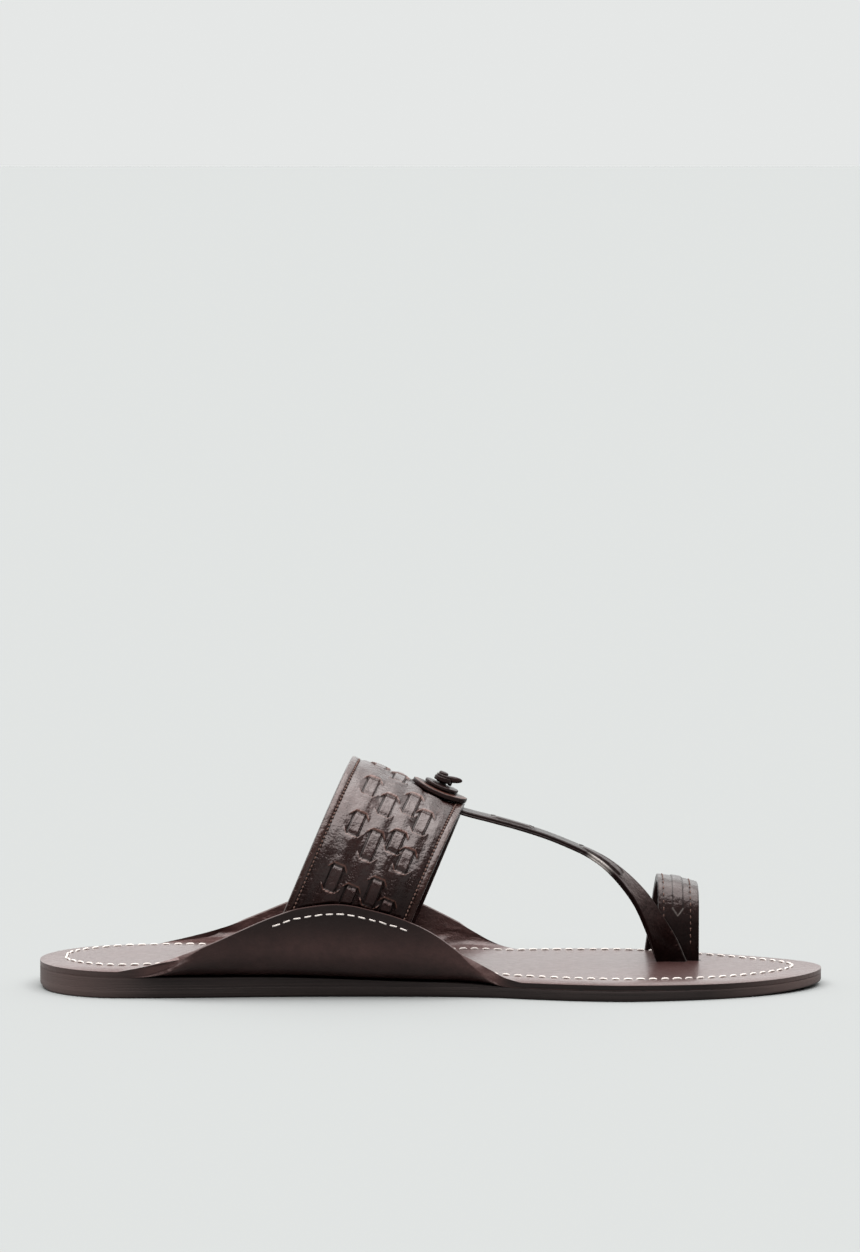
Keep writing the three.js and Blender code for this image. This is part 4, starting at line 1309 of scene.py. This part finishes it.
def footbed_finish(colour, sole_colour):
    """Waxed footbed leather: mottled, with fine creases, a stitch groove in painted shade and slots for
    the feet in painted shade.

    The upper face is lighter and redder, partly as painted sheen; the wings' inner faces carry a
    painted sheen, stronger higher up. The wings' outer faces darken upwards as painted shade, their
    cut edges are lighter, and the low edge is burnished like the sole's.
    """
    material, nodes, shader, place = new_finish("footbed_leather")
    seam, cut, low_edge = nodes.mark("seam"), nodes.mark("cut"), nodes.mark("low_edge")
    cloud = nodes.noise(place, 38.0, 4.0, 0.6)
    fine = nodes.noise(place, 420.0, 3.0)
    top, inner = seam.ramp(-2.0, 0.5), seam.ramp(UNDER_SEAM + 4, FLAP_SEAM[1] - 1)
    level = axis(nodes, place, "Z")
    high, raised = level.ramp(0.013, 0.027), level.ramp(0.009, 0.014)
    tone = nodes.mix(cloud.ramp(0.32, 0.7), shade(colour, 0.9), shade(colour, 1.6))
    tone = nodes.mix(fine.ramp(0.35, 0.75) * 0.5, tone, shade(colour, 0.65))
    # Painted shade: the wings' outer faces darken upwards
    tone = nodes.mix(high * (1 - inner) * 0.95, tone, shade(colour, 0.2))
    # Partly painted sheen: the upper face, the leather's own side, is made lighter and redder
    tone = nodes.mix(inner * 0.4, tone, (colour[0] * 2.2, colour[1] * 1.7, colour[2] * 1.7))
    # Painted sheen on the wings' inner faces, stronger higher up
    tone = nodes.mix(inner * (1 - top) * (raised * 0.5 + 0.1), tone, shade(colour, 3.2))
    # Painted shade in the stitch groove
    tone = nodes.mix(seam.bell(0.7) * 0.6, tone, shade(colour, 0.4))
    tone = nodes.mix(cut * 0.8, tone, shade(colour, 1.8))
    tone = nodes.mix(low_edge, tone, sole_tone(nodes, place, sole_colour))
    # Painted shade in the slots that the ring's and strap's feet go into
    feet = [foot_slot(nodes, place, *slot) for slot in zip(*FOOT_SLOTS.values())]
    slots = feet[0].math("MAXIMUM", feet[1]).math("MAXIMUM", feet[2])
    tone = nodes.mix(slots, tone, PAINTED_SHADE)
    wrinkle = nodes.noise(nodes.stretched(place, (260.0, 900.0, 700.0)), 1.0, 3.0, 0.6, 0.8)
    creased = wrinkle.ramp(0.42, 0.6) * (inner * 0.07 + 0.012)
    height = leather_grain(nodes, place, 0.7, 0.07) + creased + cloud * 0.2
    height = height - seam.bell(0.55) * 0.16 - slots * 0.5
    rough = 0.3 - inner * 0.05 + fine * 0.14 + cloud * 0.12 + cut * 0.1 + slots * 0.3
    finish_with(nodes, shader, tone, rough, height)
    nodes.tree.links.new((inner * 0.34 + 0.08).socket, shader.inputs["Coat Weight"])
    shader.inputs["Coat Roughness"].default_value = 0.22
    shader.inputs["Metallic"].default_value = 0.3
    shader.inputs["Specular IOR Level"].default_value = 0.3
    return material


def foot_slot(nodes, place, x, y, half_length, half_width):
    """1 inside a slot in the footbed and 0 outside: the further of the two distances to its sides."""
    along = (axis(nodes, place, "X") - x * MM).math("ABSOLUTE") - half_length * MM
    across = (axis(nodes, place, "Y") - y * MM).math("ABSOLUTE") - half_width * MM
    return 1 - along.math("MAXIMUM", across).ramp(0.0, 0.25 * MM)


def laced_finish(name, colour, raw, gloss, shine, painted_shade_heights=(0.0, 1.0)):
    """Polished leather with the laced thong's lighter faces, raw cut edges, and painted shade in its
    slits, in the gaps beside the thong and in holes and grooves.

    Its shine is patchy: the roughness follows three noises. As painted shade on the lower leather it is
    duller and darker below the first of the two shade heights, given in millimetres, and at its full
    shine above the second.
    """
    material, nodes, shader, place = new_finish(name)
    thong, slit, cut = nodes.mark("thong"), nodes.mark("slit"), nodes.mark("raw")
    cloud = nodes.noise(place, 30.0, 4.0, 0.6)
    patches = nodes.noise(place, 190.0, 3.0, 0.6)
    fine = nodes.noise(place, 1500.0, 3.0, 0.65)
    tone = nodes.mix(cloud.ramp(0.3, 0.72), shade(colour, 0.6), shade(colour, 1.5))
    tone = nodes.mix(patches.ramp(0.55, 0.75) * 0.5, tone, shade(colour, 2.4))
    tone = nodes.mix(fine.ramp(0.4, 0.7) * 0.6, tone, shade(colour, 0.4))
    tone = nodes.mix(thong * 0.5, tone, shade((colour[0], colour[1] * 1.3, colour[2] * 1.35), 1.6))
    # Painted shade in slits, gaps, holes and grooves
    tone = nodes.mix(slit * 0.92, tone, PAINTED_SHADE)
    tone = nodes.mix(cut * 0.9, tone, raw)
    height = leather_grain(nodes, place, 0.6, 0.08) + cloud * 0.45 + patches * 0.75 + fine * 0.09
    rough = gloss + fine * 0.16 + patches * 0.2 + cloud * 0.06 + slit * 0.3
    finish_with(nodes, shader, tone, rough, height)
    level = axis(nodes, place, "Z")
    # Painted shade: below the given heights the leather is duller and darker through Metallic
    dull = (1 - level.ramp(painted_shade_heights[0] * MM, painted_shade_heights[1] * MM)) * 0.8
    nodes.tree.links.new(dull.socket, shader.inputs["Metallic"])
    shader.inputs["Specular IOR Level"].default_value = shine
    shader.inputs["Coat Weight"].default_value = shine * 0.3
    shader.inputs["Coat Roughness"].default_value = 0.18
    return material


def sole_tone(nodes, place, colour):
    """Colour of a burnished edge: thin dark and light layers, cloudy, and much lighter towards heel and toe
    as a painted highlight.
    """
    layers = nodes.noise(nodes.stretched(place, (14.0, 14.0, 1900.0)), 1.0, 4.0, 0.65)
    cloud = nodes.noise(place, 60.0, 4.0, 0.6)
    along = axis(nodes, place, "X").math("ABSOLUTE")
    tone = nodes.mix(layers.ramp(0.35, 0.68), shade(colour, 0.5), shade(colour, 2.0))
    tone = nodes.mix(cloud.ramp(0.5, 0.8) * 0.5, tone, shade(colour, 2.6))
    # Painted highlight: much lighter towards heel and toe
    return nodes.mix(along.ramp(0.085, 0.126) * 0.75, tone, shade(colour, 13.0))


def sole_finish(colour):
    """Burnished sole edge: thin layers run along it, with lighter and darker places, and a painted highlight
    towards heel and toe.
    """
    material, nodes, shader, place = new_finish("sole_edge")
    layers = nodes.noise(nodes.stretched(place, (14.0, 14.0, 1900.0)), 1.0, 4.0, 0.65)
    fine = nodes.noise(place, 700.0, 2.0)
    height = layers * 0.14 + fine * 0.06
    finish_with(nodes, shader, sole_tone(nodes, place, colour), 0.42 + layers * 0.15 + fine * 0.15, height)
    return material


def thread_finish(name, colour, twist):
    """Waxed thread: fine twisted strands and small soiled places."""
    material, nodes, shader, place = new_finish(name)
    strands = nodes.noise(nodes.stretched(place, (twist, twist, twist * 1.7), (0.0, 0.6, 0.8)), 1.0, 2.0)
    soil = nodes.noise(place, 120.0, 3.0)
    tone = nodes.mix(soil.ramp(0.4, 0.8) * 0.5, colour, shade(colour, 0.6))
    tone = nodes.mix(strands.ramp(0.3, 0.6) * 0.3, tone, shade(colour, 0.75))
    finish_with(nodes, shader, tone, 0.55 + soil * 0.2, strands * 0.06)
    return material


# Operators


class SANDAL_OT_sole(bpy.types.Operator):
    """Build the outsole and the heel wedge."""

    bl_idname = "sandal.sole"
    bl_label = "Sole"

    def execute(self, context):
        finish = sole_finish(tuple(context.scene.sandal_colours.sole))

        def outsole_bottom(station):
            return toe_spring(station) + HEEL_BEVEL[1] * np.clip(1 - station / HEEL_BEVEL[0], 0, 1) ** 2

        def outsole_top(station):
            return outsole_level(station) + toe_spring(station) + OUTSOLE_RISE

        outsole = sole_layer(260, outsole_bottom, outsole_top, low_round=0.7, high_round=0.12)
        faces = grid_faces(*outsole.shape[:2], wrap_rows=True)
        place_piece("outsole_leather", outsole, faces, finish, ["outsole"])
        wedge = wedge_solid()
        faces = grid_faces(*wedge.shape[:2], wrap_columns=True, caps=True)
        place_piece("heel_wedge_leather", wedge, faces, finish, ["heel_wedge"], crisp=40)
        return {"FINISHED"}


def wedge_solid():
    """The wedge: a low rectangle between outsole and footbed, carried from the heel to its thin end."""
    station = WEDGE_END * (1 - np.cos(np.linspace(0.004, 1, 200) * np.pi)) / 2
    lateral, medial = outline(station)
    low, high = outsole_level(station) + WEDGE_CLEAR[0], footbed_level(station) - WEDGE_CLEAR[1]
    x = station - LENGTH / 2
    share = np.linspace(0, 1, 14)
    top = stack(x[:, None], lerp(lateral[:, None], medial[:, None], share), high[:, None])
    bottom = stack(x[:, None], lerp(medial[:, None], lateral[:, None], share), low[:, None])
    return np.concatenate([top, bottom], axis=1)


class SANDAL_OT_footbed(bpy.types.Operator):
    """Build the winged footbed."""

    bl_idname = "sandal.footbed"
    bl_label = "Winged footbed"

    def execute(self, context):
        surface, seam, cut, low_edge = footbed_surface(count=340)
        faces = grid_faces(*surface.shape[:2], wrap_rows=True)
        colours = context.scene.sandal_colours
        finish = footbed_finish(tuple(colours.footbed), tuple(colours.sole))
        marks = {"seam": seam, "cut": cut, "low_edge": low_edge}
        place_piece(
            "winged_footbed_leather",
            surface,
            faces,
            finish,
            ["winged_footbed"],
            marks,
            crisp=50,
        )
        return {"FINISHED"}


class SANDAL_OT_stitching(bpy.types.Operator):
    """Sew the white stitches round the footbed and along both wings."""

    bl_idname = "sandal.stitching"
    bl_label = "White stitching"

    def execute(self, context):
        sizes = context.scene.sandal_sizes
        lines = footbed_lines(count=400)
        inward = unit(lines.middle - lines.fold)
        row = lines.fold + inward * (stitch_inset(lines.station) - FOLD_INSET)[:, None]
        line = np.concatenate([row, row[:1]])
        points, heading = along_line(line, spacing=sizes.stitch_pitch / MM)
        points, heading = points[:-1], heading[:-1]
        z = footbed_top(points[:, 0], points[:, 1])
        middle = stack(points[:, 0], points[:, 1], z)
        ahead = footbed_top(*(points + heading * 0.5).T) - footbed_top(*(points - heading * 0.5).T)
        direction = unit(stack(heading[:, 0], heading[:, 1], ahead))
        up = np.broadcast_to([0.0, 0.0, 1.0], middle.shape)
        thread = thread_finish("white_thread", tuple(context.scene.sandal_colours.thread), 2600.0)
        length, radius = sizes.stitch_length / MM, sizes.stitch_radius / MM
        tubes, faces = stitches(middle, direction, up, length, radius, seed=5)
        place_piece("footbed_stitches", tubes, faces, thread)
        for side, name in ((-1.0, "outer_wing_stitches"), (1.0, "inner_wing_stitches")):
            centre, heading, normal = wing_stitch_line(side)
            tubes, faces = stitches(centre, heading, normal, WING_STITCHES["length"], radius * 0.68, seed=9)
            place_piece(name, tubes, faces, thread)
        return {"FINISHED"}


def wing_stitch_line(side):
    """Places of the wing's stitches on its outer face, a fixed way below the cut edge."""
    x = np.linspace(WING_STITCHES["first"], WING_STITCHES["last"], 200)
    station = x + LENGTH / 2
    sides = np.full(len(x), side)
    fold_y = wing_section(station, sides).fold_y
    upper, _, lower = footbed_section(station, sides, footbed_top(x, side * fold_y))
    down = unit(upper[:, -1] - upper[:, -10])
    place = lower[:, -1] - down * WING_STITCHES["down"]
    line = stack(x, side * place[:, 0], place[:, 1])
    points, heading = along_line(line, spacing=WING_STITCHES["pitch"])
    out_y = np.interp(points[:, 0], x, down[:, 1])
    out_z = np.interp(points[:, 0], x, -down[:, 0])
    normal = unit(stack(np.zeros(len(points)), side * out_y, out_z))
    return points, heading, normal


def prick_rows(pitch):
    """Middle, direction and face direction of the prick stitches near both edges of the band."""
    parts = []
    for across in (PRICK_INSET, BAND_WIDTH - PRICK_INSET):
        first = math.ceil(-band_end_arc(-1, np.array(across)) / pitch)
        last = math.floor(band_end_arc(1, np.array(across)) / pitch)
        arc = pitch * np.arange(first, last + 1.0)
        on_face = np.full(len(arc), across)
        middle = band_point(on_face, arc, -0.05)
        heading = band_point(on_face, arc + 0.2, 0.0) - band_point(on_face, arc - 0.2, 0.0)
        above = band_point(on_face, arc, 1.0) - middle
        parts.append((middle, unit(heading), unit(above)))
    return [np.concatenate(group) for group in zip(*parts)]


class SANDAL_OT_band(bpy.types.Operator):
    """Build the laced instep band and its prick stitches."""

    bl_idname = "sandal.band"
    bl_label = "Instep band"

    def execute(self, context):
        sizes, colours = context.scene.sandal_sizes, context.scene.sandal_colours
        pitch = sizes.prick_pitch / MM
        height = sizes.lace_height / MM
        surface, masks = band_surface(height, pitch, rows=430, outer_columns=176, inner_columns=38)
        faces = grid_faces(*surface.shape[:2], wrap_columns=True, caps=True)
        raw = tuple(colours.raw_edge)
        band = tuple(colours.band)
        finish = laced_finish("band_leather", band, raw, gloss=0.08, shine=0.46, painted_shade_heights=(28, 44))
        marks = dict(zip(LACE_MARKS, masks))
        place_piece("instep_band_leather", surface, faces, finish, ["instep_band"], marks)
        middle, heading, normal = prick_rows(pitch)
        red, green, blue = colours.thread
        thread = thread_finish("brown_thread", (red * 0.16, green * 0.095, blue * 0.08), 3000.0)
        tubes, faces = stitches(middle, heading, normal, **PRICK_STITCH, seed=11)
        place_piece("band_prick_stitches", tubes, faces, thread)
        return {"FINISHED"}


class SANDAL_OT_strap(bpy.types.Operator):
    """Build the toe strap."""

    bl_idname = "sandal.strap"
    bl_label = "Toe strap"

    def execute(self, context):
        sizes, colours = context.scene.sandal_sizes, context.scene.sandal_colours
        surface, masks = strap_surface(count=300, columns=34, height=sizes.lace_height / MM)
        faces = grid_faces(*surface.shape[:2], wrap_columns=True, caps=True)
        # The strap's raw mark carries its pale front edge and a painted highlight where it twists
        raw = shade(tuple(colours.thread), 0.7)
        strap = tuple(colours.strap)
        finish = laced_finish("strap_leather", strap, raw, gloss=0.14, shine=0.15, painted_shade_heights=(22, 46))
        marks = dict(zip(LACE_MARKS, masks))
        place_piece("toe_strap_leather", surface, faces, finish, ["toe_strap"], marks)
        return {"FINISHED"}


class SANDAL_OT_ring(bpy.types.Operator):
    """Build the ring for the big toe and its prick stitches."""

    bl_idname = "sandal.ring"
    bl_label = "Toe ring"

    def execute(self, context):
        colours = context.scene.sandal_colours
        surface, masks = ring_surface(count=240, columns=48)
        faces = grid_faces(*surface.shape[:2], wrap_columns=True, caps=True)
        raw = shade(tuple(colours.thread), 0.6)
        strap = tuple(colours.strap)
        finish = laced_finish("ring_leather", strap, raw, gloss=0.1, shine=0.36, painted_shade_heights=(16, 28))
        marks = dict(zip(LACE_MARKS, masks))
        place_piece("toe_ring_leather", surface, faces, finish, ["toe_ring"], marks)
        sewn = slice(RING_FEET_UNSEWN, -RING_FEET_UNSEWN)
        middle, heading = (part[sewn] for part in along_line(ring_line(), spacing=RING_STITCH["pitch"]))
        face = RING_THICKNESS / 2
        rows = []
        for across in RING_STITCH_ROWS:
            at = ring_point(middle, heading, across, face)
            ahead = ring_point(middle + heading * 0.2, heading, across, face)
            above = ring_point(middle, heading, across, face + 0.5)
            rows.append((at, unit(ahead - at), unit(above - at)))
        at, ahead, above = (np.concatenate(group) for group in zip(*rows))
        length, radius = RING_STITCH["length"], RING_STITCH["radius"]
        tubes, faces = stitches(at, ahead, above, length, radius, seed=13)
        place_piece("ring_prick_stitches", tubes, faces, bpy.data.materials["brown_thread"])
        return {"FINISHED"}


class SANDAL_OT_knot(bpy.types.Operator):
    """Build the oval patch, the disc and the rolled thong on the band's crest."""

    bl_idname = "sandal.knot"
    bl_label = "Patch, disc and knot"

    def execute(self, context):
        colours = context.scene.sandal_colours
        strap, raw = tuple(colours.strap), tuple(colours.raw_edge)
        finish = laced_finish("knot_leather", strap, raw, gloss=0.16, shine=0.16)
        patch = washer(PATCH_LENGTH / 2, PATCH_WIDTH / 2, *PATCH_LEVELS, rounding=0.35, droop=0.012)
        faces = grid_faces(*patch.shape[:2], wrap_columns=True)
        from_rim = np.arange(len(patch)) - RIM_ROW
        rim = {"raw": np.broadcast_to(0.7 * bell(from_rim, 1.0)[:, None], patch.shape[:2])}
        place_piece("oval_patch_leather", patch, faces, finish, ["oval_patch"], rim)
        disc = washer(DISC_RADIUS, DISC_RADIUS, *DISC_LEVELS, rounding=0.25, droop=0.008)
        place_piece("knot_disc_leather", disc, faces, finish, ["knot_disc"])
        inner = ROLL_RADIUS - ROLL_NARROWING
        roll = rolled_thong(ROLL_TURNS, ROLL_RADIUS, inner, *ROLL_LEVELS, THONG_THICKNESS)
        roll_faces = grid_faces(*roll.shape[:2], wrap_columns=True, caps=True)
        place_piece("rolled_thong", roll, roll_faces, finish, ["thong_knot"])
        nub_top = ROLL_LEVELS[1] + 0.6
        nub_at = KNOT_ALONG - 0.9
        nub = washer(NUB_RADIUS, NUB_RADIUS, ROLL_LEVELS[0], nub_top, rounding=0.6, along=nub_at)
        place_piece("thong_nub", nub, faces, finish)
        tail = thong_tail()
        tail_faces = grid_faces(*tail.shape[:2], wrap_columns=True, caps=True)
        place_piece("thong_tail", tail, tail_faces, finish)
        head = washer(HEAD_RADIUS, HEAD_RADIUS, *HEAD_LEVELS, rounding=0.4)
        place_piece("thong_head", head, faces, finish)
        shank_levels = (HEAD_LEVELS[1] - 0.15, ROLL_LEVELS[0] + 0.3)
        shank = washer(SHANK_RADIUS, SHANK_RADIUS, *shank_levels, rounding=0.1)
        place_piece("thong_shank", shank, faces, finish)
        return {"FINISHED"}


CAMERA_ELEVATION = 7.8
CAMERA_DISTANCE = 1800.0
CAMERA_TARGET = (0.0, 0.0, 30.0)
TARGET_PIXEL = (431.0, 894.1)
IMAGE_SIZE = (860.0, 1252.0)
PIXELS_PER_MM = 3.067
SENSOR = 36.0


def studio_camera():
    """A camera at the photograph's angle, turned a little so that the sandal stands low in the frame.

    The focal length in pixels is the scale times the distance, and the camera turns by the angle whose
    tangent is the target's way from the middle of the frame over that focal length.
    """
    elevation = math.radians(CAMERA_ELEVATION)
    focal = PIXELS_PER_MM * CAMERA_DISTANCE
    down = math.atan((TARGET_PIXEL[1] - IMAGE_SIZE[1] / 2) / focal)
    right = math.atan((TARGET_PIXEL[0] - IMAGE_SIZE[0] / 2) / focal)
    data = bpy.data.cameras.new("studio_camera")
    data.sensor_fit = "AUTO"
    data.sensor_width = SENSOR
    data.lens = focal * math.cos(down) * SENSOR / max(IMAGE_SIZE)
    data.clip_end = 200.0
    camera = bpy.data.objects.new("studio_camera", data)
    back = Vector((0.0, -math.cos(elevation), math.sin(elevation)))
    camera.location = (Vector(CAMERA_TARGET) + back * CAMERA_DISTANCE) * MM
    camera.rotation_euler = Euler((math.pi / 2 - elevation + down, 0.0, right), "XYZ")
    bpy.context.scene.collection.objects.link(camera)
    bpy.context.scene.camera = camera


SKY = {"front": 0.06, "back": 0.8, "raised": 2.2, "overhead": 6.5, "tilt": math.radians(16)}


def studio_light(world):
    """Soft light from a pale room: dim in front, pale behind, and a broad soft light overhead.

    The room brightens from front to back, and behind a little with height. The overhead light is
    added smoothly where a direction lies near its axis, which leans forward from straight up.
    """
    world.use_nodes = True
    nodes = Nodes(world.node_tree)
    world.node_tree.nodes.clear()
    place = nodes.add("ShaderNodeTexCoord", {}, {}, "Generated")
    back, up = axis(nodes, place, "Y"), axis(nodes, place, "Z")
    behind = back.ramp(-0.35, 0.35)
    room = behind * (SKY["back"] - SKY["front"]) + SKY["front"]
    room = room + behind * up.ramp(0.06, 0.36) * (SKY["raised"] - SKY["back"])
    near = up * math.cos(SKY["tilt"]) - back * math.sin(SKY["tilt"])
    strength = room + near.ramp(0.62, 0.84) * SKY["overhead"]
    light = nodes.add("ShaderNodeBackground", {}, {"Color": (0.982, 1.0, 0.992, 1.0), "Strength": strength})
    output = world.node_tree.nodes.new("ShaderNodeOutputWorld")
    world.node_tree.links.new(light.socket, output.inputs["Surface"])


class SANDAL_OT_stage(bpy.types.Operator):
    """Set up the pale floor, the soft studio light and the camera."""

    bl_idname = "sandal.stage"
    bl_label = "Studio"

    def execute(self, context):
        scene = context.scene
        material, nodes, shader, place = new_finish("studio_floor")
        colour = tuple(scene.sandal_colours.floor)
        speckle = nodes.noise(place, 900.0, 2.0)
        tone = nodes.mix(speckle, shade(colour, 0.995), shade(colour, 1.005))
        nodes.tree.links.new(tone.socket, shader.inputs["Base Color"])
        shader.inputs["Roughness"].default_value = 0.9
        shader.inputs["Specular IOR Level"].default_value = 0.0
        mesh = bpy.data.meshes.new("studio_floor")
        half = 60.0
        corners = [(-half, -half, 0), (half, -half, 0), (half, half, 0), (-half, half, 0)]
        mesh.from_pydata(corners, [], [(0, 1, 2, 3)])
        mesh.materials.append(material)
        floor = bpy.data.objects.new("studio_floor", mesh)
        scene.collection.objects.link(floor)
        scene.world = scene.world or bpy.data.worlds.new("studio")
        studio_light(scene.world)
        studio_camera()
        scene.view_settings.view_transform = "Standard"
        return {"FINISHED"}


OPERATORS = (
    SANDAL_OT_sole,
    SANDAL_OT_footbed,
    SANDAL_OT_stitching,
    SANDAL_OT_band,
    SANDAL_OT_strap,
    SANDAL_OT_ring,
    SANDAL_OT_knot,
    SANDAL_OT_stage,
)


class SANDAL_PT_panel(bpy.types.Panel):
    """Sidebar panel with the sandal's sizes, colours and pieces."""

    bl_idname = "SANDAL_PT_panel"
    bl_label = "Toe post sandal"
    bl_space_type = "VIEW_3D"
    bl_region_type = "UI"
    bl_category = "Sandal"

    def draw(self, context):
        for group in (context.scene.sandal_sizes, context.scene.sandal_colours):
            box = self.layout.box()
            for name in group.__annotations__:
                box.prop(group, name)
        for operator in OPERATORS:
            self.layout.operator(operator.bl_idname)


CLASSES = (SandalSizes, SandalColours, *OPERATORS, SANDAL_PT_panel)


def register():
    for cls in CLASSES:
        bpy.utils.register_class(cls)
    bpy.types.Scene.sandal_sizes = PointerProperty(type=SandalSizes)
    bpy.types.Scene.sandal_colours = PointerProperty(type=SandalColours)


def unregister():
    del bpy.types.Scene.sandal_colours
    del bpy.types.Scene.sandal_sizes
    for cls in reversed(CLASSES):
        bpy.utils.unregister_class(cls)


def main():
    register()
    bpy.ops.sandal.sole()
    bpy.ops.sandal.footbed()
    bpy.ops.sandal.stitching()
    bpy.ops.sandal.band()
    bpy.ops.sandal.strap()
    bpy.ops.sandal.ring()
    bpy.ops.sandal.knot()
    bpy.ops.sandal.stage()


if __name__ == "__main__":
    main()
